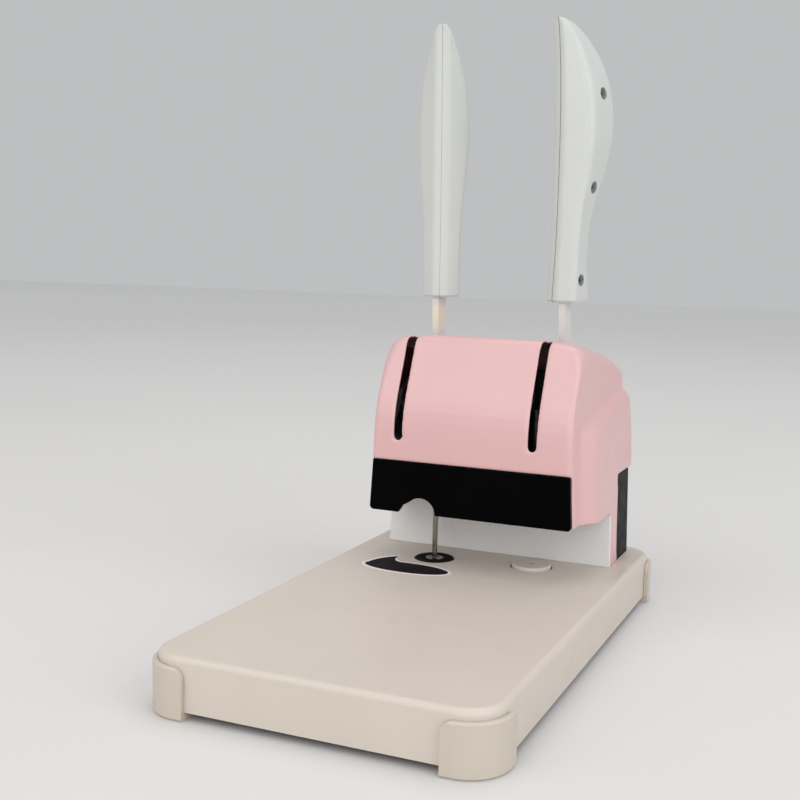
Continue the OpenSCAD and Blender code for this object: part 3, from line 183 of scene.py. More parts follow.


# A finish's lighter edge colour stands for rubbed wear together with a painted edge highlight.
looks = {
    "base_paint": dict(
        colour=(0.635, 0.567, 0.497), second=(0.615, 0.55, 0.48), speck=(0.51, 0.455, 0.395),
        speckSize=0.0006, speckShare=0.2, rough=(0.38, 0.50), grainSize=0.0007, grainDepth=0.00005,
        bump=0.3, coat=0.12, coatRough=0.3, edgeWearAndHighlight=(0.73, 0.67, 0.59), edgeWearAndHighlightShare=0.6, patchSize=0.05),
    # the foot's seam colour is painted shade in the gap where the foot meets the base
    "foot_plastic": dict(
        colour=(0.555, 0.495, 0.425), second=(0.57, 0.51, 0.425), rough=(0.36, 0.46), grainSize=0.0005,
        grainDepth=0.00004, bump=0.25, edgeWearAndHighlight=(0.66, 0.61, 0.52), edgeWearAndHighlightShare=0.45, seamShade=(0.10, 0.06, 0.035),
        patchSize=0.02),
    "black_plastic": dict(
        colour=(0.008, 0.0073, 0.007), second=(0.012, 0.0105, 0.0105), rough=(0.38, 0.52), grainSize=0.0005,
        grainDepth=0.00005, bump=0.3, specular=0.045, edgeWearAndHighlight=(0.10, 0.095, 0.09), edgeWearAndHighlightShare=0.8),
    "gloss_black": dict(
        colour=(0.0010, 0.0010, 0.0011), second=(0.0016, 0.0016, 0.0018), rough=(0.12, 0.22),
        grainSize=0.0016, grainDepth=0.00001, bump=0.15, specular=0.02, edgeWearAndHighlight=(0.14, 0.13, 0.13),
        edgeWearAndHighlightShare=0.9),
    # the pink cover's inside colour is painted shade in its hollow
    "pink_plastic": dict(
        colour=(0.70, 0.438, 0.435), second=(0.685, 0.42, 0.42), rough=(0.28, 0.40), grainSize=0.0022,
        grainDepth=0.00003, bump=0.2, coat=0.2, coatRough=0.25, edgeWearAndHighlight=(0.82, 0.56, 0.55), edgeWearAndHighlightShare=0.5,
        inside=(0.16, 0.035, 0.035), patchSize=0.06),
    "white_paint": dict(
        colour=(0.66, 0.645, 0.635), second=(0.63, 0.615, 0.605), speck=(0.52, 0.51, 0.50),
        speckSize=0.0007, speckShare=0.25, rough=(0.34, 0.46), grainSize=0.0007, grainDepth=0.00005,
        bump=0.3, coat=0.15, coatRough=0.25, edgeWearAndHighlight=(0.76, 0.75, 0.74), edgeWearAndHighlightShare=0.5),
    # the grip's seam colour is painted shade along the parting line of its two shells
    "grip_plastic": dict(
        colour=(0.60, 0.615, 0.585), second=(0.585, 0.60, 0.575), rough=(0.34, 0.44), grainSize=0.0006,
        grainDepth=0.00004, bump=0.35, edgeWearAndHighlight=(0.68, 0.69, 0.665), edgeWearAndHighlightShare=0.4, seamShade=(0.16, 0.16, 0.15),
        patchSize=0.025),
    "rocker_red": dict(
        colour=(0.36, 0.012, 0.012), second=(0.31, 0.01, 0.01), rough=(0.18, 0.28), grainSize=0.0005,
        grainDepth=0.00002, coat=0.2, edgeWearAndHighlight=(0.5, 0.06, 0.05), edgeWearAndHighlightShare=0.5),
    "board_green": dict(
        colour=(0.03, 0.17, 0.07), second=(0.02, 0.13, 0.05), rough=(0.25, 0.4), grainSize=0.0008,
        grainDepth=0.00004),
    "insulator": dict(
        colour=(0.62, 0.52, 0.34), second=(0.52, 0.42, 0.26), rough=(0.5, 0.7), grainSize=0.0006,
        grainDepth=0.00008),
    "bright_steel": dict(
        colour=(0.58, 0.575, 0.57), second=(0.50, 0.495, 0.49), rough=(0.16, 0.30), grainSize=0.0004,
        grainDepth=0.00003, metal=1.0, stretch=(1, 1, 9), edgeWearAndHighlight=(0.72, 0.72, 0.71), edgeWearAndHighlightShare=0.4),
    "dark_steel": dict(
        colour=(0.10, 0.10, 0.105), second=(0.07, 0.07, 0.075), rough=(0.28, 0.42), grainSize=0.0004,
        grainDepth=0.00003, metal=1.0, edgeWearAndHighlight=(0.34, 0.33, 0.32), edgeWearAndHighlightShare=0.8),
    "plated_steel": dict(
        colour=(0.52, 0.53, 0.54), second=(0.45, 0.46, 0.47), rough=(0.28, 0.42), grainSize=0.0008,
        grainDepth=0.00003, metal=1.0, stretch=(1, 3, 1), patchSize=0.012),
    "bare_aluminium": dict(
        colour=(0.66, 0.665, 0.67), second=(0.58, 0.585, 0.59), rough=(0.26, 0.40), grainSize=0.0004,
        grainDepth=0.00003, metal=1.0, stretch=(1, 1, 6)),
    "bronze": dict(
        colour=(0.54, 0.37, 0.16), second=(0.44, 0.29, 0.12), rough=(0.25, 0.4), grainSize=0.0004,
        grainDepth=0.00003, metal=1.0, stretch=(1, 1, 6)),
}

# Finishes that depart from the material's usual one. A lever's bar is painted dark inside the head, painted
# shade standing in for the dark slots, and enamelled above it, and the left one has a cream band.
leverShadeAndEnamel = dict(
    looks["white_paint"], colour=(0.012, 0.012, 0.012), second=(0.02, 0.019, 0.019), edgeWearAndHighlightShare=0.15)
leverShadeAndEnamel.pop("speck")
enamel, cream = (0.68, 0.665, 0.655), (0.78, 0.72, 0.59)
enamelFoot, creamFoot, creamTop = (0.2045, 0.2055), (0.212, 0.216), (0.231, 0.236)
looks["leftLeverShadeAndEnamel"] = dict(
    leverShadeAndEnamel, bands=[(*enamelFoot, enamel), (*creamFoot, cream), (*creamTop, enamel)])
looks["rightLeverShadeAndEnamel"] = dict(leverShadeAndEnamel, bands=[(*enamelFoot, enamel)])
looks["darkAnodised"] = dict(
    looks["bare_aluminium"], colour=(0.10, 0.098, 0.095), second=(0.07, 0.068, 0.066))
# The paper stop: a brighter copy of the white paint, painted light offsetting the shade the head casts on it.
looks["stopWhiteLit"] = dict(
    looks["white_paint"], colour=(0.84, 0.83, 0.825), second=(0.81, 0.80, 0.795), edgeWearAndHighlight=(0.88, 0.87, 0.86))
looks["drillSteel"] = dict(
    looks["bright_steel"], colour=(0.26, 0.235, 0.205), second=(0.19, 0.17, 0.15))
looks["bushSteel"] = dict(
    looks["bright_steel"], colour=(0.30, 0.29, 0.28), second=(0.20, 0.195, 0.19))
looks["padBlack"] = dict(
    looks["black_plastic"], colour=(0.003, 0.0018, 0.0018), second=(0.005, 0.003, 0.003), rough=(0.5, 0.65),
    specular=0.02, edgeWearAndHighlight=(0.05, 0.045, 0.045))
looks["labelBlack"] = dict(
    colour=(0.007, 0.005, 0.008), second=(0.010, 0.007, 0.011), rough=(0.45, 0.55), grainSize=0.001,
    grainDepth=0.00002, specular=0.025)
looks["labelPale"] = dict(
    colour=(0.95, 0.83, 0.82), second=(0.91, 0.80, 0.78), rough=(0.35, 0.45), grainSize=0.001,
    grainDepth=0.00002, coat=0.2)
ownFinish = {
    "drill_arm": "leftLeverShadeAndEnamel", "rivet_arm": "rightLeverShadeAndEnamel", "drill_quill": "darkAnodised",
    "rivet_ram": "darkAnodised", "paper_stop": "stopWhiteLit", "drill_bit": "drillSteel",
    "cutting_pad": "padBlack", "pad_bush": "bushSteel",
}
finishes = {name: makeFinish(name, look) for name, look in looks.items()}
print("finishes made:", len(finishes))


def dress(piece, material):
    piece.data.materials.clear()
    piece.data.materials.append(material)


for nodeName, piece in nodes.items():
    dress(piece, finishes[ownFinish.get(nodeName, slotOf[nodeName])])


# Shaping helpers

shaping = {
    "weld": 0.004 * mm, "smoothBelow": math.radians(32), "flatBelow": math.radians(0.4),
    "sharpAbove": math.radians(34), "segments": 2, "footSeam": 0.7, "gripSeam": 0.9, "slack": 0.02 * mm,
    "gripSlack": 1.5 * mm, "volumeShare": 0.06, "narrowings": (1.0, 0.5, 0.25),
}


def mergedCopy(nodeName):
    work = bmesh.new()
    work.from_mesh(nodes[nodeName].data)
    bmesh.ops.remove_doubles(work, verts=work.verts, dist=shaping["weld"])
    return work


def sharpEdges(work, angle):
    return [edge for edge in work.edges if len(edge.link_faces) == 2 and edge.calc_face_angle() > angle]


def asPiece(name, work, material):
    mesh = bpy.data.meshes.new(name)
    work.to_mesh(mesh)
    work.free()
    mesh.polygons.foreach_set("use_smooth", [True] * len(mesh.polygons))
    mesh.set_sharp_from_angle(angle=shaping["smoothBelow"])
    piece = bpy.data.objects.new(name, mesh)
    bpy.context.scene.collection.objects.link(piece)
    dress(piece, material)
    return piece


def standFor(piece, nodeName):
    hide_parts(nodeName)
    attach(piece, bodyOf[nodeName])


def weigh(piece):
    even = piece.modifiers.new("evenNormals", "WEIGHTED_NORMAL")
    even.keep_sharp = True
    depsgraph = bpy.context.evaluated_depsgraph_get()
    mesh = bpy.data.meshes.new_from_object(piece.evaluated_get(depsgraph))
    piece.modifiers.clear()
    piece.data = mesh


def surfaceOf(nodeName):
    work = mergedCopy(nodeName)
    surface = BVHTree.FromBMesh(work)
    work.free()
    return surface


baseSurface = surfaceOf("base_housing")
# The parting line on the rivet lever's grip
seamGroove = {
    "aside": 1.5 * mm, "wide": 0.35 * mm, "deep": 0.45 * mm, "facing": 0.6, "touch": 0.01 * mm,
    "snap": 0.001 * mm,
}


def cutSeam(work, values):
    face = max(work.faces, key=lambda face: face.calc_area())
    across, origin = face.normal.copy(), face.calc_center_median()
    points = np.array([vertex.co for vertex in work.verts])
    along = Vector(np.linalg.svd(points - points.mean(0), full_matrices=False)[2][0])
    front = across.cross(along).normalized()
    front *= -math.copysign(1, front.y)
    cuts = [-values["aside"] + step * values["wide"] for step in (-1, 0, 1)]
    for cut in cuts:
        bmesh.ops.bisect_plane(work, geom=work.verts[:] + work.edges[:] + work.faces[:],
                               dist=values["snap"], plane_co=origin + cut * across, plane_no=across)
    # the strip beside the groove carries painted shade
    seamShade = work.faces.layers.float["seamShade"]
    strip = [face for face in work.faces if face.normal.dot(front) > values["facing"]
             and cuts[0] < (face.calc_center_median() - origin).dot(across) < cuts[2]]
    for face in strip:
        face[seamShade] = 1.0
    for vertex in {vertex for face in strip for vertex in face.verts}:
        if abs((vertex.co - origin).dot(across) - cuts[1]) < values["touch"]:
            vertex.co -= values["deep"] * front


# The levers' grips end blunt: the top is pressed flat, and one shell is widened towards it
tipShape = {
    "flat": 0.7 * mm, "widened": {"rivet_grip_left": 0.9}, "fade": 4 * mm, "reach": 24 * mm, "power": 4,
}


def bluntTip(work, nodeName, origin, across, values):
    top = max(vertex.co.z for vertex in work.verts)
    widen, power = values["widened"].get(nodeName, 0), values["power"]
    for vertex in work.verts:
        below = top - vertex.co.z
        if below < values["reach"]:
            away = (vertex.co - origin).dot(across)
            vertex.co += across * away * widen * math.exp(-below / values["fade"])
            vertex.co.z = top - (below ** power + values["flat"] ** power) ** (1 / power)


def bevelled(work, nodeName, width):
    rim = work.faces.layers.float.new("rim")
    seamShade = work.faces.layers.float.new("seamShade")
    bmesh.ops.dissolve_limit(work, angle_limit=shaping["flatBelow"], verts=work.verts, edges=work.edges)
    flat = max(work.faces, key=lambda face: face.calc_area())
    plane, origin = flat.normal.copy(), flat.calc_center_median()
    made = bmesh.ops.bevel(work, geom=sharpEdges(work, shaping["sharpAbove"]), offset=width,
                           segments=shaping["segments"], profile=0.5, affect="EDGES", clamp_overlap=True,
                           offset_type="OFFSET")
    # bevel faces carry the rim mask for the lighter edge colour: rubbed wear and painted edge highlight
    for face in made["faces"]:
        middle = face.calc_center_median()
        face[rim] = 1.0
        # painted shade: the seam mask marks a foot's bevel along the base and a drill grip's bevel along its
        # parting line
        if nodeName.startswith("foot"):
            face[seamShade] = float(baseSurface.find_nearest(middle)[3] < shaping["footSeam"] * width)
        elif "grip" in nodeName and nodeName.startswith("drill"):
            face[seamShade] = float(abs((middle - origin).dot(plane)) < shaping["gripSeam"] * width)
    if nodeName == "rivet_grip_right":
        cutSeam(work, seamGroove)
    if "grip" in nodeName:
        bluntTip(work, nodeName, origin, plane, tipShape)


def softEdged(nodeName, width):
    low, high = (np.array(corner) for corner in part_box(nodeName))
    slack = shaping["gripSlack" if "grip" in nodeName else "slack"]
    for share in shaping["narrowings"]:  # a narrower edge where the wide one would spoil the shape
        work = mergedCopy(nodeName)
        volume = work.calc_volume(signed=True)
        bevelled(work, nodeName, width * share)
        points = np.array([vertex.co for vertex in work.verts])
        inside = (points.min(0) > low - slack).all() and (points.max(0) < high + slack).all()
        if inside and abs(work.calc_volume(signed=True) / volume - 1) < shaping["volumeShare"]:
            piece = asPiece(nodeName + "_soft", work, nodes[nodeName].data.materials[0])
            weigh(piece)
            standFor(piece, nodeName)
            return share
        work.free()
    return 0


# The softened edges' widths in millimetres
softWidths = {
    "base_housing": 0.5, "foot_front_left": 0.9, "foot_front_right": 0.9, "foot_rear_left": 0.9,
    "foot_rear_right": 0.9, "front_panel": 0.5, "paper_stop": 0.5, "rear_cover": 0.6, "rivet_table": 0.35,
    "cutting_pad": 0.4, "pad_bush": 0.3, "drill_arm": 0.6, "rivet_arm": 0.6, "drill_grip_left": 0.45,
    "drill_grip_right": 0.45, "rivet_grip_left": 0.45, "rivet_grip_right": 0.45, "power_inlet": 0.4,
    "switch_frame": 0.3, "switch_rocker": 0.4, "lower_die": 0.25, "drill_bit": 0.15, "chuck_nut": 0.3,
    "upper_die": 0.25, "heater_block": 0.3, "drill_quill": 0.3, "rivet_ram": 0.3, "base_plate": 0.3,
    "lower_bridge": 0.3, "top_tie": 0.3,
}
for nodeName, width in softWidths.items():
    print("soft edges:", nodeName, softEdged(nodeName, width * mm))


# The pink cover: a moulded shell, its edges rounded and its folds blended

coverValues = {
    "voxel": 1.36 * mm, "evenPasses": 3, "foldPasses": 72, "pull": 0.5, "foldReach": 9 * mm,
    "foldStep": 3 * mm, "foldSide": 74 * mm, "foldFront": 80 * mm, "foldFoot": 84 * mm, "foldOutward": 0.3,
    "foldBend": (math.radians(12), math.radians(60)), "foldRear": (150 * mm, 172 * mm),
    "foldFade": (82 * mm, 96 * mm), "rimBend": math.radians(50), "rimReach": 0.9 * mm, "clear": 0.2 * mm,
}


def treeOfEdges(work, chosen, step):
    found = []
    for edge in work.edges:
        if len(edge.link_faces) == 2 and chosen(edge):
            first, last = (vertex.co for vertex in edge.verts)
            count = max(1, int((last - first).length / step))
            found += [first.lerp(last, i / count) for i in range(count + 1)]
    tree = kdtree.KDTree(len(found))
    for index, point in enumerate(found):
        tree.insert(point, index)
    tree.balance()
    return tree


def isFold(edge):
    middle = (edge.verts[0].co + edge.verts[1].co) / 2
    outward = sum(face.normal.x for face in edge.link_faces) * math.copysign(1, middle.x)
    beside = abs(middle.x) > coverValues["foldSide"] and middle.y > coverValues["foldFront"]
    least, most = coverValues["foldBend"]
    turned = least < edge.calc_face_angle() < most and outward > coverValues["foldOutward"]
    return beside and middle.z > coverValues["foldFoot"] and turned


def isRim(edge):
    return edge.is_convex and edge.calc_face_angle() > coverValues["rimBend"]


def smoothPoints(points, pairs, passes, share):
    count = np.bincount(pairs.ravel(), minlength=len(points)).astype(float)
    for step in range(passes):
        total = np.zeros_like(points)
        for axis in range(3):
            total[:, axis] = (np.bincount(pairs[:, 0], points[pairs[:, 1], axis], len(points))
                              + np.bincount(pairs[:, 1], points[pairs[:, 0], axis], len(points)))
        points += share[:, None] * (total / count[:, None] - points)


def makeCover(values):
    work = mergedCopy("head_cover")
    folds = treeOfEdges(work, isFold, values["foldStep"])
    rims = treeOfEdges(work, isRim, values["rimReach"])
    shell = asPiece("head_cover_moulded", work, finishes["pink_plastic"])
    remesh = shell.modifiers.new("remesh", "REMESH")
    remesh.mode = "VOXEL"
    remesh.voxel_size = values["voxel"]
    depsgraph = bpy.context.evaluated_depsgraph_get()
    mesh = bpy.data.meshes.new_from_object(shell.evaluated_get(depsgraph))
    shell.modifiers.clear()
    shell.data = mesh
    points = np.zeros(len(mesh.vertices) * 3)
    mesh.vertices.foreach_get("co", points)
    points = points.reshape(-1, 3)
    pairs = np.zeros(len(mesh.edges) * 2, int)
    mesh.edges.foreach_get("vertices", pairs)
    pairs = pairs.reshape(-1, 2)
    smoothPoints(points, pairs, values["evenPasses"], np.full(len(points), values["pull"]))
    near = np.array([folds.find(point)[2] for point in points])
    (front, rear), (foot, upper) = values["foldRear"], values["foldFade"]
    share = np.exp(-(near / values["foldReach"]) ** 2)
    share *= np.clip((rear - points[:, 1]) / (rear - front), 0, 1)
    share *= np.clip((points[:, 2] - foot) / (upper - foot), 0, 1)
    smoothPoints(points, pairs, values["foldPasses"], values["pull"] * share)
    nearRim = np.array([rims.find(point)[2] for point in points])
    mesh.vertices.foreach_set("co", points.ravel())
    mesh.update()
    faces = [tuple(face.vertices) for face in mesh.polygons]
    walls = BVHTree.FromPolygons([tuple(point) for point in points], faces)
    # points whose outward ray meets the shell again lie in the hollow and get the painted shade mask
    hidden = [walls.ray_cast(vertex.co + values["clear"] * vertex.normal, vertex.normal)[0] is not None
              for vertex in mesh.vertices]
    # rim: near convex edges, the mask for the lighter edge colour, rubbed wear and painted highlight
    rim = np.exp(-(nearRim / values["rimReach"]) ** 2)
    for name, share in (("inside", np.array(hidden, float)), ("rim", rim)):
        mesh.attributes.new(name, "FLOAT", "POINT").data.foreach_set("value", share)
    mesh.update()
    mesh.polygons.foreach_set("use_smooth", [True] * len(mesh.polygons))
    dress(shell, finishes["pink_plastic"])
    standFor(shell, "head_cover")
    print("cover:", len(points), "points")


makeCover(coverValues)


# Flat pieces: the label on the base and the marks on the rocker

def addPrism(work, outline, height, place=Matrix(), hole=None):
    loops = [outline] if hole is None else [outline, hole]
    rings = [[[work.verts.new(place @ Vector((x, y, z))) for x, y in loop] for z in (0, height)]
             for loop in loops]
    for low, high in rings:
        for i in range(len(low)):
            j = (i + 1) % len(low)
            work.faces.new((low[i], low[j], high[j], high[i]))
    if hole is None:
        work.faces.new(rings[0][1])
        work.faces.new(rings[0][0][::-1])
    else:
        for level in (0, 1):
            outer, inner = rings[0][level], rings[1][level]
            for i in range(len(outer)):
                j = (i + 1) % len(outer)
                work.faces.new((outer[i], outer[j], inner[j], inner[i]))
    bmesh.ops.recalc_face_normals(work, faces=work.faces)


def ellipse(wide, high, steps, start=0, turn=360, centre=(0, 0)):
    angles = [math.radians(start + turn * i / steps) for i in range(steps if turn == 360 else steps + 1)]
    return [(centre[0] + wide * math.cos(angle), centre[1] + high * math.sin(angle)) for angle in angles]


def bow(first, middle, last, steps=8):
    parts = [i / steps for i in range(1, steps)]
    return [tuple((1 - t) ** 2 * a + 2 * t * (1 - t) * b + t * t * c for a, b, c in zip(first, middle, last))
            for t in parts]


# A point of the tail has for each axis its place, and by how many borders the dark face draws it in
labelValues = {
    "centre": (-45.6 * mm, 45.0 * mm), "reach": (36.3 * mm, 15.4 * mm), "border": 2.4 * mm,
    "sheet": 0.12 * mm, "print": 0.06 * mm, "tailTo": 165, "tailFrom": 105, "steps": 72,
    "tip": ((-63.7 * mm, -0.1), (76.7 * mm, -1.4)),
    "outerBow": ((-78.8 * mm, 0.75), (68.2 * mm, -2.5)),
    "innerBow": ((-64.6 * mm, -0.3), (61.2 * mm, -1.3)),
}


def bubble(values, inset):
    wide, high = (reach - inset for reach in values["reach"])
    turn = 360 - values["tailTo"] + values["tailFrom"]
    body = ellipse(wide, high, values["steps"], values["tailTo"], turn, values["centre"])
    tip, inner, outer = (tuple(at + share * inset for at, share in values[key])
                         for key in ("tip", "innerBow", "outerBow"))
    return body + bow(body[-1], inner, tip) + [tip] + bow(tip, outer, body[0])


def makeLabel(values):
    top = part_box("base_housing")[1][2]
    sheet, ink = values["sheet"], values["print"]
    for name, inset, low, height, finish, slot in (
            ("label_border", 0, top, sheet, "labelPale", "white_paint"),
            ("label_face", values["border"], top + sheet, ink, "labelBlack", "black_plastic")):
        work = bmesh.new()
        addPrism(work, bubble(values, inset), height, Matrix.Translation((0, 0, low)))
        piece = asPiece(name, work, finishes[finish])
        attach(piece, "machine")


makeLabel(labelValues)

rockerValues = {
    "barWide": 0.9 * mm, "barHigh": 3.8 * mm, "ringOuter": 2.0 * mm, "ringInner": 1.25 * mm, "steps": 32,
    "rise": 0.12 * mm, "sink": 0.02 * mm, "fromMiddle": 4.6 * mm, "aimFrom": 5 * mm,
}


def makeRockerMarks(values):
    surface = surfaceOf("switch_rocker")
    low, high = (Vector(corner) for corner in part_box("switch_rocker"))
    middle = (low + high) / 2
    work = bmesh.new()
    for side, shape in ((1, "bar"), (-1, "ring")):
        start = Vector((middle.x, high.y + values["aimFrom"], middle.z + side * values["fromMiddle"]))
        place, normal = surface.ray_cast(start, Vector((0, -1, 0)))[:2]
        turn = Matrix((Vector((-1, 0, 0)), normal.cross(Vector((-1, 0, 0))), normal)).transposed().to_4x4()
        seat = Matrix.Translation(place - values["sink"] * normal) @ turn
        if shape == "bar":
            x, y = values["barWide"] / 2, values["barHigh"] / 2
            addPrism(work, [(-x, -y), (x, -y), (x, y), (-x, y)], values["rise"], seat)
        else:
            outer, inner = (ellipse(values[key], values[key], values["steps"])
                            for key in ("ringOuter", "ringInner"))
            addPrism(work, outer, values["rise"], seat, inner)
    piece = asPiece("rocker_marks", work, finishes["white_paint"])
    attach(piece, "rocker")


makeRockerMarks(rockerValues)
print("label and marks made")


# Geometry Nodes: the screws, and the return springs

creaseAbove = math.radians(35)


def startTree(name, sockets):
    tree = bpy.data.node_groups.new(name, "GeometryNodeTree")
    tree.interface.new_socket("Geometry", in_out="INPUT", socket_type="NodeSocketGeometry")
    keys = {}
    for label, kind in sockets.items():
        made = tree.interface.new_socket(label, in_out="INPUT", socket_type="NodeSocket" + kind)
        keys[label] = made.identifier
    tree.interface.new_socket("Geometry", in_out="OUTPUT", socket_type="NodeSocketGeometry")
    return tree, addNode(tree, "NodeGroupInput").outputs, keys


def endTree(tree, geometry, finish):
    real = addNode(tree, "GeometryNodeRealizeInstances")
    coat = addNode(tree, "GeometryNodeSetMaterial")
    tree.links.new(geometry, real.inputs["Geometry"])
    tree.links.new(real.outputs["Geometry"], coat.inputs["Geometry"])
    tree.links.new(finish, coat.inputs["Material"])
    tree.links.new(coat.outputs["Geometry"], addNode(tree, "NodeGroupOutput").inputs["Geometry"])


def grow(name, mesh, tree, keys, values):
    piece = bpy.data.objects.new(name, mesh)
    bpy.context.scene.collection.objects.link(piece)
    modifier = piece.modifiers.new("grow", "NODES")
    modifier.node_group = tree
    for label, value in values.items():
        modifier[keys[label]] = value
    made = bpy.data.meshes.new_from_object(piece.evaluated_get(bpy.context.evaluated_depsgraph_get()))
    piece.modifiers.clear()
    piece.data = made
    made.polygons.foreach_set("use_smooth", [True] * len(made.polygons))
    made.set_sharp_from_angle(angle=creaseAbove)
    return piece


def combine(tree, x, y, z):
    made = addNode(tree, "ShaderNodeCombineXYZ")
    for socket, value in zip(made.inputs, (x, y, z)):
        if value is not None:
            tree.links.new(value, socket)
    return made.outputs[0]


def calculate(tree, operation, first, second=None):
    made = addNode(tree, "ShaderNodeMath", operation=operation)
    for socket, value in zip(made.inputs, (first, second)):
        if isinstance(value, (int, float)):
            socket.default_value = value
        elif value is not None:
            tree.links.new(value, socket)
    return made.outputs[0]


def screwTree():
    tree, given, keys = startTree("screwRow", {
        "Screw": "Object", "Direction": "Vector", "Turn": "Float", "Seed": "Int", "Finish": "Material"})
    screw = addNode(tree, "GeometryNodeObjectInfo")
    aligned = addNode(tree, "FunctionNodeAlignRotationToVector", axis="Z")
    rows = addNode(tree, "GeometryNodeInstanceOnPoints")
    turned = addNode(tree, "GeometryNodeRotateInstances")
    chance = addNode(tree, "FunctionNodeRandomValue", data_type="FLOAT")
    tree.links.new(given["Screw"], screw.inputs["Object"])
    tree.links.new(given["Direction"], aligned.inputs["Vector"])
    tree.links.new(given["Geometry"], rows.inputs["Points"])
    tree.links.new(screw.outputs["Geometry"], rows.inputs["Instance"])
    tree.links.new(aligned.outputs["Rotation"], rows.inputs["Rotation"])
    tree.links.new(given["Turn"], chance.inputs[3])
    tree.links.new(given["Seed"], chance.inputs["Seed"])
    tree.links.new(combine(tree, None, None, chance.outputs[1]), turned.inputs["Rotation"])
    tree.links.new(rows.outputs["Instances"], turned.inputs["Instances"])
    endTree(tree, turned.outputs["Instances"], given["Finish"])
    return tree, keys


def islandBoxes(nodeName):
    work = mergedCopy(nodeName)
    left, boxes = set(work.verts), []
    while left:
        waiting = [left.pop()]
        group = list(waiting)
        while waiting:
            vertex = waiting.pop()
            for other in (edge.other_vert(vertex) for edge in vertex.link_edges):
                if other in left:
                    left.remove(other)
                    waiting.append(other)
                    group.append(other)
        points = np.array([vertex.co for vertex in group])
        boxes.append((points.min(0), points.max(0)))
    work.free()
    return sorted(boxes, key=lambda box: tuple(box[0].round(5)))


crossScrew = {
    "head": 6 * mm, "rise": 1.8 * mm, "lip": 0.15 * mm, "skirt": 0.45, "domeSteps": 6, "shank": 3 * mm,
    "tip": 0.7, "tipLength": 1 * mm, "recess": 3.4 * mm, "arm": 0.8 * mm, "deep": 1.2 * mm, "clear": 1 * mm,
}
screwValues = {
    "rear_cover_screws": dict(crossScrew, direction=(0, 1, 0), finish="dark_steel", seed=4),
    "base_screws": dict(crossScrew, direction=(0, 0, -1), finish="bright_steel", seed=9),
}


def turnedMesh(name, outline, steps=40):
    work = bmesh.new()
    rings = []
    for radius, height in outline:
        if radius == 0:
            rings.append([work.verts.new((0, 0, height))])
        else:
            angles = [2 * math.pi * i / steps for i in range(steps)]
            rings.append([work.verts.new((radius * math.cos(angle), radius * math.sin(angle), height))
                          for angle in angles])
    for low, high in zip(rings, rings[1:]):
        for i in range(steps):
            j = (i + 1) % steps
            corners = [low[i % len(low)], low[j % len(low)], high[j % len(high)], high[i % len(high)]]
            work.faces.new([corner for k, corner in enumerate(corners) if corner not in corners[:k]])
    bmesh.ops.recalc_face_normals(work, faces=work.faces)
    mesh = bpy.data.meshes.new(name)
    work.to_mesh(mesh)
    work.free()
    return mesh


def makeScrew(values, length):
    head, rise, shank = values["head"] / 2, values["rise"], values["shank"] / 2
    lip, skirt, foot = values["lip"], values["skirt"], values["rise"] - length
    angles = [math.radians(90 * i / values["domeSteps"]) for i in range(values["domeSteps"])]
    dome = [(head * math.cos(angle), rise * (skirt + (1 - skirt) * math.sin(angle))) for angle in angles]
    outline = [(0, foot), (shank * values["tip"], foot), (shank, foot + values["tipLength"]), (shank, 0),
               (head - lip, 0), (head, lip)] + dome + [(0, rise)]
    screw = bpy.data.objects.new("screw", turnedMesh("screw", outline))
    work = bmesh.new()
    long, thin = values["recess"] / 2, values["arm"] / 2
    cross = [(long, -thin), (long, thin), (thin, thin), (thin, long), (-thin, long), (-thin, thin),
             (-long, thin), (-long, -thin), (-thin, -thin), (-thin, -long), (thin, -long), (thin, -thin)]
    floor = Matrix.Translation((0, 0, rise - values["deep"]))
    addPrism(work, cross, values["deep"] + values["clear"], floor)
    cutter = bpy.data.objects.new("cutter", bpy.data.meshes.new("cutter"))
    work.to_mesh(cutter.data)
    work.free()
    for template in (screw, cutter):
        bpy.context.scene.collection.objects.link(template)
    cut = screw.modifiers.new("cut", "BOOLEAN")
    cut.object = cutter
    cut.solver = "EXACT"
    mesh = bpy.data.meshes.new_from_object(screw.evaluated_get(bpy.context.evaluated_depsgraph_get()))
    screw.modifiers.clear()
    screw.data = mesh
    bpy.data.objects.remove(cutter)
    return screw


def makeScrews():
    tree, keys = screwTree()
    for nodeName, values in screwValues.items():
        direction = Vector(values["direction"])
        boxes = islandBoxes(nodeName)
        axis = max(range(3), key=lambda i: abs(direction[i]))
        seats = []
        for low, high in boxes:
            seat = (low + high) / 2
            seat[axis] = high[axis] - values["rise"] if direction[axis] > 0 else low[axis] + values["rise"]
            seats.append(tuple(seat))
        screw = makeScrew(values, float(boxes[0][1][axis] - boxes[0][0][axis]))
        mesh = bpy.data.meshes.new(nodeName + "_seats")
        mesh.from_pydata(seats, [], [])
        piece = grow(nodeName + "_crossed", mesh, tree, keys, {
            "Screw": screw, "Direction": values["direction"], "Turn": math.pi, "Seed": values["seed"],
            "Finish": finishes[values["finish"]]})
        bpy.data.objects.remove(screw)
        standFor(piece, nodeName)
        print("screws:", nodeName, len(seats))


springValues = {
    "turns": 16.0, "wire": 1.0 * mm, "hookShare": 0.02, "endShare": 0.09, "clear": 0.05 * mm,
    "pointsPerTurn": 24, "sides": 10,
}


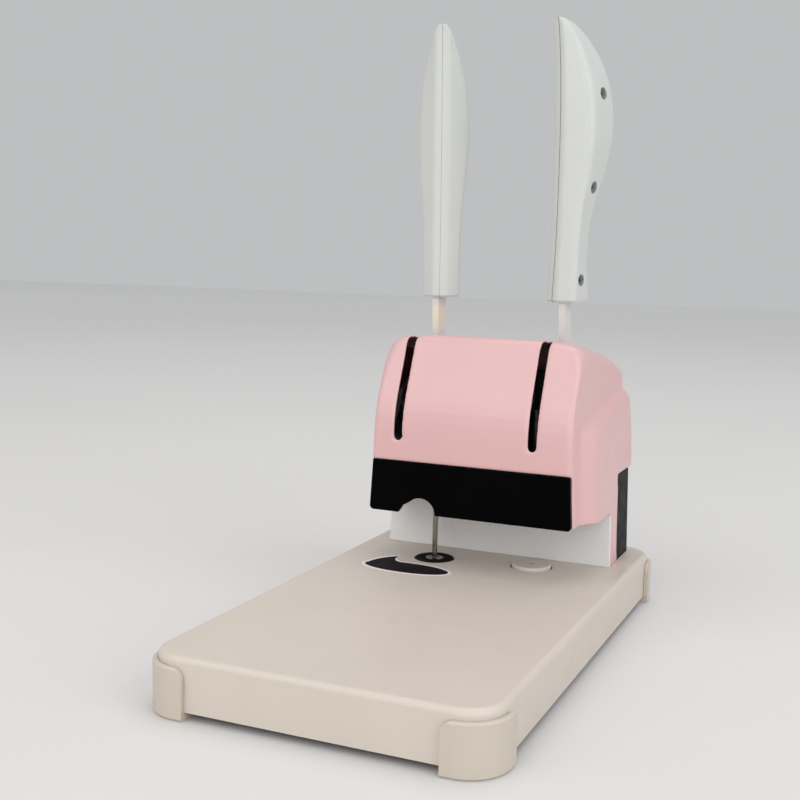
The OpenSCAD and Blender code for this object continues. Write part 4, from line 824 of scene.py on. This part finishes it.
def springTree():
    tree, given, keys = startTree("returnSpring", {
        "Turns": "Float", "Radius": "Float", "Wire": "Float", "HookShare": "Float", "EndShare": "Float",
        "Points": "Int", "Sides": "Int", "Foot": "Vector", "Head": "Vector", "Finish": "Material"})
    line = addNode(tree, "GeometryNodeCurvePrimitiveLine")
    sampled = addNode(tree, "GeometryNodeResampleCurve")
    along = addNode(tree, "GeometryNodeSplineParameter").outputs["Factor"]
    moved = addNode(tree, "GeometryNodeSetPosition")
    wire = addNode(tree, "GeometryNodeCurvePrimitiveCircle")
    swept = addNode(tree, "GeometryNodeCurveToMesh")
    tree.links.new(given["Foot"], line.inputs["Start"])
    tree.links.new(given["Head"], line.inputs["End"])
    tree.links.new(line.outputs["Curve"], sampled.inputs["Curve"])
    tree.links.new(given["Points"], sampled.inputs["Count"])
    fromEnd = calculate(tree, "MINIMUM", along, calculate(tree, "SUBTRACT", 1, along))
    ramp = addNode(tree, "ShaderNodeMapRange", interpolation_type="SMOOTHSTEP")  # the hooks draw in
    tree.links.new(fromEnd, ramp.inputs["Value"])
    tree.links.new(given["HookShare"], ramp.inputs["From Min"])
    tree.links.new(given["EndShare"], ramp.inputs["From Max"])
    reach = calculate(tree, "MULTIPLY", ramp.outputs["Result"], given["Radius"])
    angle = calculate(tree, "MULTIPLY", calculate(tree, "MULTIPLY", along, given["Turns"]), 2 * math.pi)
    offset = combine(tree, calculate(tree, "MULTIPLY", calculate(tree, "SINE", angle), reach),
                     calculate(tree, "MULTIPLY", calculate(tree, "COSINE", angle), reach), None)
    tree.links.new(sampled.outputs["Curve"], moved.inputs["Geometry"])
    tree.links.new(offset, moved.inputs["Offset"])
    tree.links.new(given["Sides"], wire.inputs["Resolution"])
    tree.links.new(calculate(tree, "MULTIPLY", given["Wire"], 0.5), wire.inputs["Radius"])
    tree.links.new(moved.outputs["Geometry"], swept.inputs["Curve"])
    tree.links.new(wire.outputs["Curve"], swept.inputs["Profile Curve"])
    swept.inputs["Fill Caps"].default_value = True
    endTree(tree, swept.outputs["Mesh"], given["Finish"])
    return tree, keys


def makeSprings(values):
    tree, keys = springTree()
    for nodeName, carriage in (("drill_spring", "drill_carriage"), ("rivet_spring", "rivet_carriage")):
        low, high = (Vector(corner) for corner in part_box(nodeName))
        middle = (low + high) / 2
        foot, head = Vector((middle.x, middle.y, low.z)), Vector((middle.x, middle.y, high.z))
        radius = (high.x - low.x - values["wire"]) / 2 - values["clear"]
        points = int(values["turns"] * values["pointsPerTurn"])
        piece = grow(nodeName + "_wound", bpy.data.meshes.new(nodeName), tree, keys, {
            "Turns": values["turns"], "Radius": radius, "Wire": values["wire"],
            "HookShare": values["hookShare"], "EndShare": values["endShare"], "Points": points,
            "Sides": values["sides"], "Foot": foot, "Head": head, "Finish": finishes["bright_steel"]})
        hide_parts(nodeName)
        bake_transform(piece, "machine", carriage, start=tuple(head), end=tuple(foot))
        print("spring:", nodeName, len(piece.data.polygons), "faces")


makeScrews()
makeSprings(springValues)


# Floor, light and camera

# The floor's far colour is painted light, paler away from the machine.
floorValues = {"half": 6.0, "look": dict(
    colour=(0.72, 0.71, 0.70), second=(0.70, 0.69, 0.68), rough=(0.55, 0.7), grainSize=0.002,
    grainDepth=0.00002, bump=0.1, patchSize=0.5, far=(0.898, 0.896, 0.894), farReach=(1.2, 5.5))}


def makeStage(values):
    half = values["half"]
    corners = [(-half, -half, 0), (half, -half, 0), (half, half, 0), (-half, half, 0)]
    mesh = bpy.data.meshes.new("floor")
    mesh.from_pydata(corners, [], [(0, 1, 2, 3)])
    floor = bpy.data.objects.new("floor", mesh)
    bpy.context.scene.collection.objects.link(floor)
    dress(floor, makeFinish("floorPale", values["look"]))


lamps = {
    "keyLamp": dict(place=(-1.6, -2.2, 2.5), aim=(0, 0, 0.15), size=3.0, power=33, tint=(1.0, 0.98, 0.96)),
    "frontLamp": dict(place=(0.4, -3.0, 1.25), aim=(0, 0, 0.12), size=2.0, power=22, tint=(1.0, 0.99, 0.985)),
    "fillLamp": dict(place=(2.8, -1.0, 1.6), aim=(0, 0, 0.2), size=3.0, power=45, tint=(0.96, 0.98, 1.0)),
    "topLamp": dict(place=(0.1, 0.7, 3.0), aim=(0, 0.05, 0.1), size=2.4, power=24, tint=(1.0, 0.99, 0.98)),
}
backdrop = {"colour": (0.86, 0.87, 0.88), "strength": 0.6}


def makeLamps():
    for name, lamp in lamps.items():
        data = bpy.data.lights.new(name, "AREA")
        data.size = lamp["size"]
        data.energy = lamp["power"]
        data.color = lamp["tint"]
        aim = Vector(lamp["aim"]) - Vector(lamp["place"])
        hung = bpy.data.objects.new(name, data)
        hung.location = lamp["place"]
        hung.rotation_euler = aim.to_track_quat("-Z", "Y").to_euler()
        bpy.context.scene.collection.objects.link(hung)
    world = bpy.data.worlds.new("studio")
    world.use_nodes = True
    shade = world.node_tree.nodes["Background"]
    shade.inputs["Color"].default_value = (*backdrop["colour"], 1)
    shade.inputs["Strength"].default_value = backdrop["strength"]
    bpy.context.scene.world = world


# The camera, fitted to the base's straight edges in the photograph
viewpoint = {
    "place": (0.2955, -0.7397, 0.2750), "yaw": 22.985, "pitch": 7.2465, "roll": 1.3468,
    "focalPixels": 1161.32, "centrePixel": 420.01, "imagePixels": 800, "sensor": 36.0,
}


def makeCamera(values):
    yaw, pitch, roll = (math.radians(values[key]) for key in ("yaw", "pitch", "roll"))
    forward = Vector((-math.sin(yaw) * math.cos(pitch), math.cos(yaw) * math.cos(pitch), -math.sin(pitch)))
    level = Vector((math.cos(yaw), math.sin(yaw), 0))
    upright = level.cross(forward)
    right = math.cos(roll) * level + math.sin(roll) * upright
    up = -math.sin(roll) * level + math.cos(roll) * upright
    data = bpy.data.cameras.new("camera")
    data.sensor_width = values["sensor"]
    data.lens = values["sensor"] * values["focalPixels"] / values["imagePixels"]
    data.shift_x = (values["imagePixels"] / 2 - values["centrePixel"]) / values["imagePixels"]
    camera = bpy.data.objects.new("camera", data)
    turn = Matrix((right, up, -forward)).transposed().to_4x4()
    camera.matrix_world = Matrix.Translation(values["place"]) @ turn
    bpy.context.scene.collection.objects.link(camera)
    bpy.context.scene.camera = camera


makeStage(floorValues)
makeLamps()
makeCamera(viewpoint)
bpy.context.scene.view_settings.view_transform = "Standard"
print("stage set")
